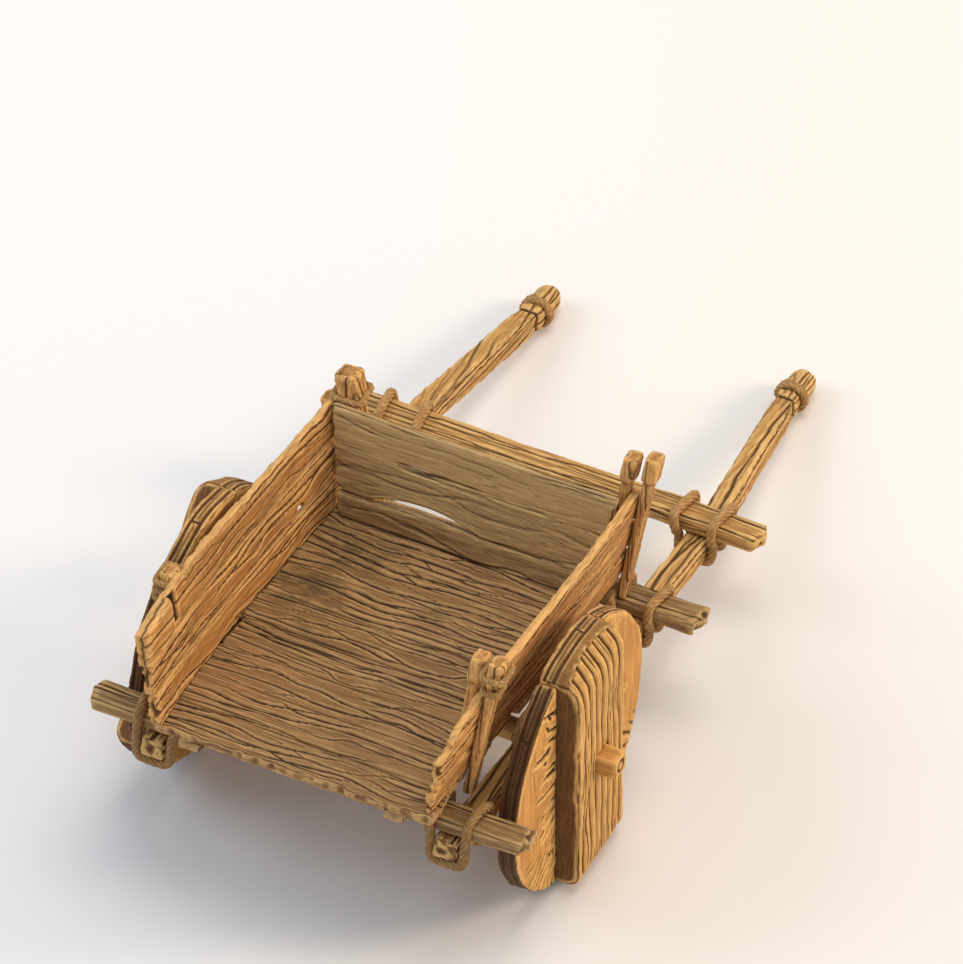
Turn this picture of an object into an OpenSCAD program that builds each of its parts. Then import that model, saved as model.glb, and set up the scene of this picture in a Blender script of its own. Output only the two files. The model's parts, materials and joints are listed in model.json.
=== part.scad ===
// Miniature two-wheeled farm cart, parked on its wheels and shaft tips.
//
// Every length is in millimetres. The sub-parts are drawn in the chassis frame:
// +X runs forward along the shafts, +Y to the left, +Z up square to the bed.
// Its zero is over the axle, half-way between the sides, on top of the crossbeams.
// parked() then tips the whole cart nose-down until the wheels and shaft tips
// stand on z = 0, and centres it on the origin.

/* [Wheels] */

// Outer radius of the solid board wheels
wheel_radius = 17.9; // [14:0.1:22]
// Distance from the middle of the cart to a wheel's inner face
wheel_inner_y = 23.2; // [20:0.1:28]
// Thickness of a wheel's two side boards
side_board_t = 2.9; // [2:0.1:5]
// How far the centre board stands out past the side boards
centre_board_rise = 3.0; // [1:0.1:5]
// Width of the centre board
centre_board_w = 12.6; // [8:0.1:18]
// Length of the rounded slope at the centre board's head
head_slope = 4.4; // [2:0.1:11]
// How far the centre board's head still stands out at the rim
head_step = 0.6; // [0.2:0.1:1]
// Length of the slope at the centre board's foot
foot_slope = 2.4; // [1:0.1:5]
// Lean of the right wheel's centre board from upright, toward the shafts
board_lean = 2; // [0:1:30]
// Turn of the left wheel's centre board from the right one's
left_board_turn = 45; // [0:15:180]
// Gap between neighbouring wheel boards
board_gap = 0.12; // [0.05:0.01:0.4]

/* [Axle] */

// Radius of the axle's round journals
axle_radius = 1.5; // [1:0.05:2]
// Radial running clearance of a journal in its bearing
running_clearance = 0.06; // [0.02:0.01:0.1]
// Depth of the axle's centre line under the tops of the crossbeams
axle_depth = 2.5; // [2.1:0.05:3.5]
// Side of the square peg at each end of the axle
peg_size = 3.0; // [2:0.1:4]
// How far a peg stands out of the centre board
peg_out = 2.4; // [1:0.1:5]
// Gap all round a peg in its wheel board
peg_fit = 0.03; // [0.01:0.01:0.1]
// Length of a bearing block along the cart
block_length = 7.0; // [5:0.1:10]
// Height of a bearing block over the tops of the crossbeams
block_rise = 0.8; // [0.3:0.1:1.5]

/* [Shafts] */

// Width and depth of a square shaft at the bed
shaft_size = 3.4; // [2.5:0.1:5]
// Width of a shaft at its squared front end
shaft_front_w = 2.9; // [2:0.1:4]
// Half-spacing of the shafts over the axle
shaft_y = 19.9; // [17:0.1:24]
// How much closer to the middle the shaft tips are
shaft_toe = 2.3; // [0:0.1:5]
// Distance the shafts run behind the rear crossbeam
shaft_tail = 1.4; // [0.5:0.1:4]
// Distance from the axle to the end of the squared shaft
shaft_front = 79.0; // [65:0.5:90]
// Drop of the shaft's centre line between the front crossbar and its tip
shaft_droop = 1.3; // [0:0.1:3]
// Radius of the round neck at a shaft's tip
neck_radius = 1.85; // [1:0.05:2.5]
// Length of the round neck, collar included
neck_length = 5.6; // [4:0.1:9]
// Depth of the seat turned into the neck for its rope collar
seat_depth = 0.25; // [0.1:0.05:0.5]
// Radius over the rope collar on the neck
collar_radius = 2.2; // [1.5:0.05:3]
// Width of the rope collar
collar_width = 1.7; // [1:0.1:3]

/* [Crossbeams] */

// Half-length of the crossbeams
beam_half = 29.5; // [24:0.5:36]
// Half-length of the front crossbar
front_bar_half = 29.0; // [24:0.5:36]
// Width of a crossbeam along the cart
beam_w = 4.4; // [3:0.1:6]
// Depth of a crossbeam
beam_t = 2.0; // [1.5:0.1:3]
// Clear gap between the wheel rims and the rear crossbeam
rim_gap = 0.4; // [0.3:0.1:3]
// Distance from the axle to the back of the middle crossbeam
middle_beam_x = 26.1; // [22:0.1:34]
// Distance from the axle to the back of the front crossbar
front_bar_x = 44.6; // [38:0.1:54]

/* [Bed] */

// Distance from the axle to the rear edge of the floor
floor_rear = 26.9; // [22:0.1:34]
// Distance from the axle to the front edge of the floor
floor_front = 21.6; // [16:0.1:25]
// Number of transverse floor planks
plank_count = 8; // [8:1:8]
// Thickness of the floor planks
plank_t = 1.2; // [0.8:0.05:2]
// Gap between floor planks
plank_gap = 0.15; // [0.05:0.01:0.5]
// Half-length of the longest floor plank
floor_half = 18.9; // [17:0.1:22]
// Height of the two bearers under the floor
bearer_h = 1.85; // [1.2:0.05:3]
// Width of a bearer
bearer_w = 3.0; // [2:0.1:4]
// Half-spacing of the bearers
bearer_y = 13.6; // [8:0.1:14]

/* [Sides] */

// Distance from the middle to the foot of the left wall
left_foot_y = 16.7; // [14:0.1:18]
// Distance from the middle to the foot of the right wall
right_foot_y = 17.0; // [14:0.1:18]
// How far the side walls run behind the floor
wall_overhang = 0.8; // [0:0.1:3]
// Thickness of the side wall planks
wall_t = 1.4; // [1:0.1:2.5]
// Lean of the left wall out of upright
left_lean = 13; // [0:0.5:20]
// Lean of the right wall out of upright
right_lean = 7.5; // [0:0.5:20]
// How far the left wall bows outward at its middle
left_bow = 1.2; // [0:0.1:2]
// How far the right wall bows outward at its middle
right_bow = 0.3; // [0:0.1:2]
// Height of one side wall plank
wall_plank_h = 4.25; // [3:0.05:6]
// Gap between side wall planks
wall_gap = 0.3; // [0.1:0.05:1]
// Thickness of a stake across the wall
stake_t = 1.3; // [1:0.1:2.5]
// Width of a stake along the wall
stake_w = 2.0; // [1:0.1:3]
// Thickness and width of the left wall's heavier front post
left_post = 2.3; // [1.5:0.1:3]
// Height of the left front post over the floor
left_post_h = 16.8; // [14:0.1:24]
// Height of the left wall's other stakes over the floor
left_stake_h = 13.0; // [10:0.1:20]
// Height of the right front stake over the floor
right_front_h = 18.4; // [14:0.1:24]
// Height of the right rear stake over the floor
right_rear_h = 16.9; // [14:0.1:24]
// How much taller the right outer stakes are than the inner ones
outer_extra = 1.2; // [0:0.1:3]
// Clear gap around a stake in a floor notch
stake_gap = 0.1; // [0.05:0.01:0.5]

/* [Headboard] */

// Thickness of the headboard planks
head_t = 1.4; // [0.8:0.1:2.5]
// Lean of the headboard out of upright, toward the shafts
head_lean = 14; // [0:1:25]
// Height of the lowest headboard plank
head_lower_h = 3.1; // [2:0.1:5]
// Height of the middle headboard plank
head_middle_h = 5.2; // [3:0.1:6]
// Height of the top headboard plank
head_upper_h = 4.6; // [2:0.1:5]
// Gap over the lowest headboard plank at its open end
head_gap = 0.9; // [0.3:0.1:2]
// Clear gap between a headboard plank's end and the side walls
head_end_gap = 0.35; // [0.1:0.05:1.5]

/* [Lashings] */

// Thickness of the rope lashings
rope = 1.0; // [0.5:0.1:1.6]
// Clear gap between a lashing and what passes through it
rope_gap = 0.04; // [0.02:0.01:0.2]

/* [Hidden] */

$fn = 96;

// Heights in the chassis frame
shaft_top = -beam_t;
axle_z = -axle_depth;
floor_top = bearer_h + plank_t;

// Shaft stations along the cart
rear_beam_x = -(wheel_radius + rim_gap + beam_w);
shaft_rear = rear_beam_x - shaft_tail;
shaft_bend = front_bar_x + beam_w + 3;
shaft_tip = shaft_front + neck_length;
tip_z = shaft_top - shaft_size / 2 - shaft_droop;
tip_y = shaft_y - shaft_toe;

// Centre line of the left shaft seen from above: [x, y]
shaft_line = [
    [shaft_rear, shaft_y - 0.4],
    [0, shaft_y],
    [middle_beam_x, shaft_y + 0.6],
    [front_bar_x - 5, shaft_y + 0.8],
    [shaft_bend, shaft_y + 0.5],
    [shaft_front, tip_y]
];

// Stakes along the cart, and the wall's ends
front_stake_x = middle_beam_x + stake_w / 2 + 0.1;
rear_stake_x = -wheel_radius + 1.8;
left_rear_stake_x = rear_stake_x + 1.5;
wall_rear = -floor_rear - wall_overhang;
wall_front = front_stake_x + stake_w / 2 + 0.4;
wall_length = wall_front - wall_rear;
wall_middle = (wall_front + wall_rear) / 2;

// Each wall by its side, 1 for the left and -1 for the right
function foot_y(side) = side > 0 ? left_foot_y : right_foot_y;
function lean(side) = side > 0 ? left_lean : right_lean;
function bow(side) = side > 0 ? left_bow : right_bow;

// How far a wall stands outward of its ends at x, where 12 chords make the bow
function bowed(side, x) = bow(side) * (1 - pow(2 * (x - wall_middle) / wall_length, 2));
bow_stations = [for (i = [0 : 12]) wall_rear + (i - 6) * 0.2 + i * wall_length / 12];

// Floor planks
plank_pitch = (floor_front + floor_rear) / plank_count;
// Length left off the longest plank at each end: [left, right]
plank_short = [[0.7, 0.0], [0.3, 0.5], [0.0, 0.2], [0.8, 0.6], [0.2, 0.1], [0.6, 0.4], [0.1, 0.7], [0.5, 0.2]];

// Reach of a wheel
board_face_y = wheel_inner_y + side_board_t;
centre_face_y = board_face_y + centre_board_rise;
peg_end_y = centre_face_y + peg_out;
round_half = wheel_inner_y - 0.7;
wheel_fn = 128;

// Pitch at which the wheels and the shaft tips stand on one plane
tip_low = tip_z - neck_radius;
tip_reach = norm([shaft_tip, tip_low - axle_z]);
park_angle = asin(wheel_radius / tip_reach) + atan2(tip_low - axle_z, shaft_tip);

// Ends of the parked cart along X, for the origin at its middle
rear_end = wall_rear * cos(park_angle) + (floor_top - axle_z) * sin(park_angle);
front_end = shaft_tip * cos(park_angle) + (tip_z + neck_radius - axle_z) * sin(park_angle);
origin_x = (rear_end + front_end) / 2;

// Paint colours
dark_wood = [0.40, 0.27, 0.15];
brown_wood = [0.50, 0.35, 0.20];
tan_wood = [0.63, 0.45, 0.25];
grey_wood = [0.48, 0.38, 0.27];
rope_tan = [0.66, 0.52, 0.33];

// Half-spacing of the shafts at x
function shaft_line_y(x) = lookup(x, shaft_line);

// Half the shaft's width at x, tapering forward from the bed
function shaft_half_w(x) = lookup(x, [[middle_beam_x, shaft_size / 2], [shaft_front, shaft_front_w / 2]]);

/* ---- placing ---- */

// Tips the chassis frame nose-down onto the ground and centres the cart.
module parked() {
    translate([-origin_x, 0, wheel_radius])
        rotate([0, park_angle, 0])
            translate([0, 0, -axle_z])
                children();
}

// side = 1 keeps the left-hand shape, side = -1 mirrors it to the right.
module on_side(side) {
    mirror([0, side < 0 ? 1 : 0, 0]) children();
}

// Frame of a side wall, drawn as a left one: +Y is outward through the wall
// and +Z up along it, from the foot of its inner face.
module wall_frame(side) {
    translate([0, foot_y(side), floor_top]) rotate([-lean(side), 0, 0]) children();
}

// Upright bowed slab in the wall frame, between two distances from the wall's inner face.
module bowed_slab(side, inner, outer) {
    translate([0, 0, -8])
        linear_extrude(height = 40)
            polygon(concat(
                [for (x = bow_stations) [x, bowed(side, x) + outer]],
                [for (i = [12 : -1 : 0]) [bow_stations[i], bowed(side, bow_stations[i]) + inner]]
            ));
}

// Everything above a level of the chassis frame.
module above(z) {
    translate([-100, -100, z]) cube([200, 200, 100]);
}

// Frame of the headboard: +X is forward through it, +Z up along it.
module head_frame() {
    translate([floor_front - head_t, 0, floor_top]) rotate([0, head_lean, 0]) children();
}

/* ---- undercarriage ---- */

// One shaft: a squared pole, bowed in plan and drooping at the tip, with a
// round neck at its end and a saddle for the axle.
module shaft(side) {
    plan = concat(
        [for (p = shaft_line) [p[0], p[1] + shaft_half_w(p[0])]],
        [for (i = [len(shaft_line) - 1 : -1 : 0])
            [shaft_line[i][0], shaft_line[i][1] - shaft_half_w(shaft_line[i][0])]]
    );
    profile = [
        [shaft_rear, shaft_top - shaft_size + 0.5],
        [shaft_rear, shaft_top],
        [shaft_bend, shaft_top],
        [shaft_front, shaft_top - shaft_droop],
        [shaft_front, shaft_top - shaft_size - shaft_droop],
        [shaft_bend, shaft_top - shaft_size],
        [shaft_rear + 1.2, shaft_top - shaft_size]
    ];
    on_side(side) union() {
        difference() {
            intersection() {
                translate([0, 0, -30]) linear_extrude(height = 60) polygon(plan);
                translate([0, 60, 0]) rotate([90, 0, 0]) linear_extrude(height = 60) polygon(profile);
            }
            axle_cut(axle_radius + running_clearance, shaft_y);
            translate([-axle_radius - running_clearance, shaft_y - 6, axle_z])
                cube([2 * (axle_radius + running_clearance), 12, 6]);
        }
        translate([shaft_front, tip_y, tip_z]) rotate([0, 90, 0]) {
            cylinder(h = neck_length, r = neck_radius - seat_depth);
            translate([0, 0, collar_width]) cylinder(h = neck_length - collar_width, r = neck_radius);
        }
    }
}

// A straight bore along Y through whatever stands at y.
module axle_cut(r, y) {
    translate([0, y - 6, axle_z]) rotate([-90, 0, 0]) cylinder(h = 12, r = r);
}

// Rope collar pushed on to a shaft's neck.
module tip_collar(side) {
    on_side(side)
        translate([shaft_front, tip_y, tip_z]) rotate([0, 90, 0])
            difference() {
                cylinder(h = collar_width, r = collar_radius);
                translate([0, 0, -1]) cylinder(h = collar_width + 2, r = neck_radius - seat_depth);
            }
}

// A crossbeam of half-length h from its back edge, with a corner chipped off each end.
module crossbeam(x, h, left_chip, right_chip) {
    translate([x, 0, shaft_top])
        linear_extrude(height = beam_t)
            polygon([
                [0, -h + right_chip], [beam_w * 0.45, -h], [beam_w, -h + right_chip * 0.4],
                [beam_w, h - left_chip * 0.5], [beam_w * 0.6, h], [0, h - left_chip]
            ]);
}

// Bearing block that closes the axle saddle from above.
module axle_block(side) {
    h = block_length / 2;
    y = shaft_y - shaft_size / 2;
    on_side(side)
        difference() {
            translate([0, y + shaft_size, 0]) rotate([90, 0, 0])
                linear_extrude(height = shaft_size)
                    polygon([
                        [-h, shaft_top], [h, shaft_top], [h, shaft_top + 1.2],
                        [h - 1.4, block_rise], [-h + 1.4, block_rise], [-h, shaft_top + 1.2]
                    ]);
            axle_cut(axle_radius + running_clearance, shaft_y);
        }
}

// A lengthwise bearer under the floor.
module bearer(side) {
    on_side(side)
        translate([-floor_rear + 0.6, bearer_y - bearer_w / 2, 0])
            cube([floor_rear + floor_front - 1.0, bearer_w, bearer_h]);
}

/* ---- bed ---- */

// Floor plank i, counted from the rear.
module floor_plank(i) {
    x = -floor_rear + i * plank_pitch;
    left = floor_half - plank_short[i][0];
    right = floor_half - plank_short[i][1];
    difference() {
        translate([x, 0, bearer_h])
            linear_extrude(height = plank_t)
                polygon([
                    [0, -right], [plank_pitch * 0.5, -right - 0.1], [plank_pitch - plank_gap, -right + 0.3],
                    [plank_pitch - plank_gap, left - 0.2], [plank_pitch * 0.4, left + 0.1], [0, left]
                ]);
        stake_notch(1, left_rear_stake_x);
        stake_notch(-1, rear_stake_x);
    }
}

// Notch for an outer rear stake in the floor's edge.
module stake_notch(side, x) {
    on_side(side) wall_frame(side)
        translate([x - stake_w / 2 - stake_gap, bowed(side, x - stake_w) + wall_t - stake_gap, -8])
            cube([stake_w + 2 * stake_gap, 10, 12]);
}

/* ---- sides ---- */

// Side wall plank drawn from its outline; each point is
// [part of the wall's length, part of the plank's height].
module wall_plank(side, level, outline) {
    v = level * (wall_plank_h + wall_gap);
    on_side(side) intersection() {
        wall_frame(side) bowed_slab(side, 0, wall_t);
        wall_frame(side)
            translate([wall_rear, 10, v]) rotate([90, 0, 0])
                linear_extrude(height = 20)
                    polygon([for (p = outline) [p[0] * wall_length, p[1] * wall_plank_h]]);
        above(floor_top);
    }
}

// Inner stake against the wall's inner face, from the floor or the crossbeam up.
module inner_stake(side, x, height, foot, thick, wide) {
    on_side(side) intersection() {
        wall_frame(side) bowed_slab(side, -thick, 0);
        wall_frame(side) translate([x - wide / 2, -5, foot - 2]) cube([wide, 10, height - foot + 2]);
        above(floor_top + foot);
    }
}

// Outer stake against the wall's outer face, from the crossbeams' level up.
module outer_stake(side, x, height) {
    on_side(side) intersection() {
        wall_frame(side) bowed_slab(side, wall_t, wall_t + stake_t);
        wall_frame(side) translate([x - stake_w / 2, -5, -8]) cube([stake_w, 15, height + 8]);
        above(0);
    }
}

/* ---- headboard ---- */

// Half-length of the headboard at a height along it, up to the wall on one side.
function head_half(side, height) =
    foot_y(side) + bowed(side, floor_front) + height * cos(head_lean) * tan(lean(side)) - head_end_gap;

// Headboard plank between the two walls; low and high are its heights along
// the board at the left end, drop lowers the right end of its lower edge.
module head_plank(low, high, drop) {
    intersection() {
        head_frame()
            rotate([90, 0, 90]) linear_extrude(height = head_t)
                polygon([
                    [head_half(1, low), low], [head_half(1, high), high], [0, high - 0.15],
                    [-head_half(-1, high), high], [-head_half(-1, low), low - drop], [0, low - drop * 0.6]
                ]);
        above(floor_top);
    }
}

/* ---- lashings ---- */

// Flat outline of a rope hoop: a rounded frame around a w by h opening.
module hoop(w, h) {
    difference() {
        union() {
            translate([-rope, 0]) square([w + 2 * rope, h]);
            translate([0, -rope]) square([w, h + 2 * rope]);
            for (x = [0, w], z = [0, h]) translate([x, z]) circle(r = rope, $fn = 32);
        }
        square([w, h]);
    }
}

// Rope over a crossbeam, down both faces and under the shaft; hoops lists its
// turns, 1 outside the shaft and -1 inside it.
module lashing(side, x, hoops) {
    y = shaft_line_y(x + beam_w / 2);
    w = beam_w + 2 * rope_gap;
    low = shaft_top - shaft_size - rope_gap;
    clear = shaft_half_w(x) + 0.25;
    inner = len(hoops) > 1 ? clear + rope / 2 : 0;
    on_side(side) union() {
        for (s = hoops)
            translate([x - rope_gap, y + s * (clear + rope / 2) + rope / 2, low])
                rotate([90, 0, 0]) linear_extrude(height = rope) hoop(w, -low + rope_gap);
        translate([x - rope_gap, y - inner, low - rope])
            cube([w, inner + clear + rope / 2, rope]);
    }
}

/* ---- wheelset ---- */

// Axle: one round bar with a square peg worked on each end.
module axle_bar() {
    union() {
        translate([0, -round_half, axle_z]) rotate([-90, 0, 0])
            cylinder(h = 2 * round_half, r = axle_radius);
        for (side = [-1, 1]) on_side(side) wheel_frame(side)
            translate([-peg_size / 2, -(wheel_inner_y - round_half) - 0.02, -peg_size / 2])
                cube([peg_size, peg_end_y - round_half + 0.02, peg_size]);
    }
}

// Frame of a wheel, drawn as a left one: zero at the axle on the wheel's inner
// face, +Z up along the centre board.
module wheel_frame(side) {
    turn = side > 0 ? left_board_turn : 0;
    translate([0, wheel_inner_y, axle_z]) rotate([0, board_lean - park_angle + turn, 0]) children();
}

// Centre board: full thickness over the axle, rounded down to the rim at its head.
module centre_board(side) {
    full = side_board_t + centre_board_rise;
    r = wheel_radius;
    on_side(side) wheel_frame(side)
        difference() {
            intersection() {
                rotate([-90, 0, 0]) cylinder(h = full, r = r, $fn = wheel_fn);
                rotate([90, 0, 90]) translate([0, 0, -centre_board_w / 2])
                    linear_extrude(height = centre_board_w)
                        polygon([
                            [0, -r - 1], [side_board_t + 1.2, -r - 1], [side_board_t + 1.2, -r + 0.2],
                            [full, -r + foot_slope], [full, r - head_slope],
                            [full - 0.35, r - head_slope * 0.55], [side_board_t + head_step + 0.4, r - 0.4],
                            [side_board_t + head_step, r + 1], [0, r + 1]
                        ]);
            }
            translate([-peg_size / 2 - peg_fit, -1, -peg_size / 2 - peg_fit])
                cube([peg_size + 2 * peg_fit, full + 2, peg_size + 2 * peg_fit]);
        }
}

// Side board: the round-backed board in front of (front = 1) or behind (-1)
// the centre board.
module side_board(side, front) {
    x = centre_board_w / 2 + board_gap;
    on_side(side) wheel_frame(side)
        intersection() {
            rotate([-90, 0, 0]) cylinder(h = side_board_t, r = wheel_radius, $fn = wheel_fn);
            translate([front > 0 ? x : -x - 40, -1, -40]) cube([40, side_board_t + 2, 80]);
        }
}

/* ---- outlines of the wall planks ---- */

left_lower = [[0.0, 0], [1, 0], [0.99, 0.5], [1, 1], [0.5, 0.97], [0.01, 1], [-0.004, 0.4]];
left_middle = [[0.0, 0.03], [1, 0], [0.985, 0.6], [0.995, 1], [0.6, 0.96], [0.3, 1], [0.0, 0.95]];
left_upper = [[-0.004, -0.03], [1, 0.02], [1.01, 1.15], [0.9, 1.1], [0.76, 0.94], [0.6, 1.02], [0.4, 1.15],
    [0.25, 1.2], [0.12, 1.15], [0.0, 1.0]];
right_lower = [[0.02, 0], [1, 0], [0.99, 1], [0.55, 0.96], [0.03, 1]];
right_middle = [[0.025, 0], [1, 0.02], [0.985, 1], [0.4, 0.96], [0.015, 0.95], [0.03, 0.5]];
right_upper = [[0.06, 0], [0.99, 0], [1, 1], [0.85, 0.93], [0.6, 0.84], [0.35, 0.9], [0.2, 0.75],
    [0.11, 0.4]];

/* ---- the cart ---- */

color(tan_wood) parked() shaft(1);  // left_shaft
color(tan_wood) parked() shaft(-1);  // right_shaft
color(brown_wood) parked()  // rear_crossbeam
    crossbeam(rear_beam_x, beam_half, 0.9, 0.5);
color(brown_wood) parked()  // middle_crossbeam
    crossbeam(middle_beam_x, beam_half, 0.5, 0.8);
color(brown_wood) parked()  // front_crossbar
    crossbeam(front_bar_x, front_bar_half, 0.7, 0.9);
color(dark_wood) parked() axle_block(1);  // left_axle_block
color(dark_wood) parked() axle_block(-1);  // right_axle_block
color(dark_wood) parked() bearer(1);  // left_bearer
color(dark_wood) parked() bearer(-1);  // right_bearer

color(grey_wood) parked() floor_plank(0);  // floor_plank_1
color(grey_wood) parked() floor_plank(1);  // floor_plank_2
color(grey_wood) parked() floor_plank(2);  // floor_plank_3
color(grey_wood) parked() floor_plank(3);  // floor_plank_4
color(grey_wood) parked() floor_plank(4);  // floor_plank_5
color(grey_wood) parked() floor_plank(5);  // floor_plank_6
color(grey_wood) parked() floor_plank(6);  // floor_plank_7
color(grey_wood) parked() floor_plank(7);  // floor_plank_8

color(brown_wood) parked() wall_plank(1, 0, left_lower);  // left_wall_lower
color(brown_wood) parked() wall_plank(1, 1, left_middle);  // left_wall_middle
color(brown_wood) parked() wall_plank(1, 2, left_upper);  // left_wall_upper
color(tan_wood) parked() wall_plank(-1, 0, right_lower);  // right_wall_lower
color(tan_wood) parked() wall_plank(-1, 1, right_middle);  // right_wall_middle
color(tan_wood) parked() wall_plank(-1, 2, right_upper);  // right_wall_upper

color(tan_wood) parked()  // left_front_inner_stake
    inner_stake(1, front_stake_x, left_post_h, -floor_top, left_post, left_post);
color(tan_wood) parked()  // left_front_outer_stake
    outer_stake(1, front_stake_x, left_stake_h);
color(tan_wood) parked()  // left_rear_outer_stake
    outer_stake(1, left_rear_stake_x, left_stake_h + outer_extra);
color(tan_wood) parked()  // right_front_inner_stake
    inner_stake(-1, front_stake_x, right_front_h, -floor_top, stake_t, stake_w);
color(tan_wood) parked()  // right_front_outer_stake
    outer_stake(-1, front_stake_x, right_front_h + outer_extra);
color(tan_wood) parked()  // right_rear_inner_stake
    inner_stake(-1, rear_stake_x + 1, right_rear_h, 0, stake_t, stake_w);
color(tan_wood) parked()  // right_rear_outer_stake
    outer_stake(-1, rear_stake_x, right_rear_h + outer_extra);

color(brown_wood) parked()  // headboard_lower
    head_plank(0, head_lower_h, 0);
color(brown_wood) parked()  // headboard_middle
    head_plank(head_lower_h + head_gap, head_lower_h + head_gap + head_middle_h, head_gap - 0.2);
color(brown_wood) parked()  // headboard_upper
    head_plank(head_lower_h + head_gap + head_middle_h + 0.4,
        head_lower_h + head_gap + head_middle_h + 0.4 + head_upper_h, 0.2);

color(rope_tan) parked()  // left_front_lashing
    lashing(1, front_bar_x, [-1, 1]);
color(rope_tan) parked()  // right_front_lashing
    lashing(-1, front_bar_x, [-1, 1]);
color(rope_tan) parked()  // left_middle_lashing
    lashing(1, middle_beam_x, [1]);
color(rope_tan) parked()  // right_middle_lashing
    lashing(-1, middle_beam_x, [1]);
color(rope_tan) parked()  // left_rear_lashing
    lashing(1, rear_beam_x, [1]);
color(rope_tan) parked()  // right_rear_lashing
    lashing(-1, rear_beam_x, [1]);
color(rope_tan) parked() tip_collar(1);  // left_tip_collar
color(rope_tan) parked() tip_collar(-1);  // right_tip_collar

color(dark_wood) parked() axle_bar();  // axle
color(tan_wood) parked() centre_board(1);  // left_wheel_centre_board
color(tan_wood) parked() side_board(1, 1);  // left_wheel_front_board
color(tan_wood) parked() side_board(1, -1);  // left_wheel_rear_board
color(tan_wood) parked() centre_board(-1);  // right_wheel_centre_board
color(tan_wood) parked() side_board(-1, 1);  // right_wheel_front_board
color(tan_wood) parked() side_board(-1, -1);  // right_wheel_rear_board
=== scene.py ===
"""Carved and painted looks of a weathered model farm cart, built around its construction model."""

import itertools
import json
import logging
import math
from dataclasses import dataclass, field, replace
from enum import Enum

import bpy
import bmesh
import numpy as np
from mathutils import Matrix, Vector


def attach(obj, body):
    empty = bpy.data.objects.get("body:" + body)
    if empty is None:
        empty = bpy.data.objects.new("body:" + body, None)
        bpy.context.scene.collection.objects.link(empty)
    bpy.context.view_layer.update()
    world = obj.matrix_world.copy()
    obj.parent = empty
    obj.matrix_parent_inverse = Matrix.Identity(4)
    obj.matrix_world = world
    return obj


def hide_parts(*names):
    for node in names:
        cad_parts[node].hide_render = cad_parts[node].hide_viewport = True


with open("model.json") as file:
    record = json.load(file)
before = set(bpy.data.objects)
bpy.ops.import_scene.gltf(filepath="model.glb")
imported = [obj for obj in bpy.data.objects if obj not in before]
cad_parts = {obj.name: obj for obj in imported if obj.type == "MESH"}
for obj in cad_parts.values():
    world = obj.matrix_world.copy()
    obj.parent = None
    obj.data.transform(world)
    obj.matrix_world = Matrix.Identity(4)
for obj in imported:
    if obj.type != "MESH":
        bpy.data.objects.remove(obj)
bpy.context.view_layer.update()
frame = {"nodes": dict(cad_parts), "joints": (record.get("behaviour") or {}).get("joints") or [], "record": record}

LOG = logging.getLogger("cart")
MM = 0.001
Array = np.ndarray


# ---------------------------------------------------------------- directions and frames


class Axis(Enum):
    """The axis of a frame that a board's grain runs along."""

    LENGTH = (0, 2, 1)
    ACROSS = (1, 0, 2)
    UPRIGHT = (2, 0, 1)

    def board(self, points: Array) -> Array:
        """Points as (along the grain, across the face, through the board)."""
        return points[:, list(self.value)]


@dataclass(frozen=True)
class Frame:
    """A right or left handed set of axes, in which sizes are millimetres.

    Args:
        origin: its zero, in metres, in the cart's own frame.
        axes: three rows, its unit axes.
    """

    origin: Array
    axes: Array

    def local(self, points: Array) -> Array:
        """World points in metres as this frame's millimetres."""
        return (points - self.origin) @ self.axes.T / MM

    def world(self, points: Array) -> Array:
        """This frame's millimetres as world points in metres."""
        return self.origin + np.asarray(points, float) @ self.axes * MM

    def turned(self, degrees: float, mirror: bool = False) -> "Frame":
        """This frame turned about its second axis.

        Args:
            degrees: the turn, from the third axis toward the first.
            mirror: whether the second axis points the other way.
        Returns:
            The turned frame.
        """
        c, s = math.cos(math.radians(degrees)), math.sin(math.radians(degrees))
        forward, left, up = self.axes
        rows = np.array([forward * c - up * s, -left if mirror else left, forward * s + up * c])
        return Frame(self.origin, rows)


def chassis_frame() -> Frame:
    """The cart's frame: zero on the axle, +X forward along the shafts, +Z square to the bed."""
    pin = next(m for m in frame["record"]["mounts"] if m["name"] == "left_tip_pin")
    axle = np.array(frame["joints"][0]["pos_m"], float)
    forward = np.array(pin["axis"], float)
    forward /= np.linalg.norm(forward)
    left = np.array([0.0, 1.0, 0.0])
    return Frame(axle, np.array([forward, left, np.cross(forward, left)]))


# ---------------------------------------------------------------- noise


def lattice_hash(cell: Array, seed: int) -> Array:
    """A fixed random number from 0 to 1 for each whole-number cell."""
    big = np.uint64(0xFFFFFFFF)
    cell = cell.astype(np.int64).astype(np.uint64)
    h = cell[:, 0] * np.uint64(374761393) + cell[:, 1] * np.uint64(668265263)
    h = (h + cell[:, 2] * np.uint64(1103515245) + np.uint64(seed * 97 + 11) * np.uint64(2654435761)) & big
    for shift in (15, 13, 16):
        h = ((h ^ (h >> np.uint64(shift))) * np.uint64(2246822519)) & big
    return h.astype(float) / float(big)


def noise(points: Array, seed: int = 0) -> Array:
    """Smooth gradient noise, about -1 to 1.

    Args:
        points: n by 3, in cells of the noise.
        seed: chooses the pattern.
    Returns:
        n values.
    """
    cell = np.floor(points)
    part = points - cell
    blend = part**3 * (part * (part * 6 - 15) + 10)
    total = np.zeros(len(points))
    for corner in itertools.product((0.0, 1.0), repeat=3):
        corner = np.array(corner)
        turn = lattice_hash(cell + corner, seed) * 2 * math.pi
        rise = lattice_hash(cell + corner, seed + 71) * 2 - 1
        flat = np.sqrt(1 - rise**2)
        away = part - corner
        dot = away[:, 0] * flat * np.cos(turn) + away[:, 1] * flat * np.sin(turn) + away[:, 2] * rise
        total += dot * np.prod(np.where(corner > 0, blend, 1 - blend), axis=1)
    return total * 1.7


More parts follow.
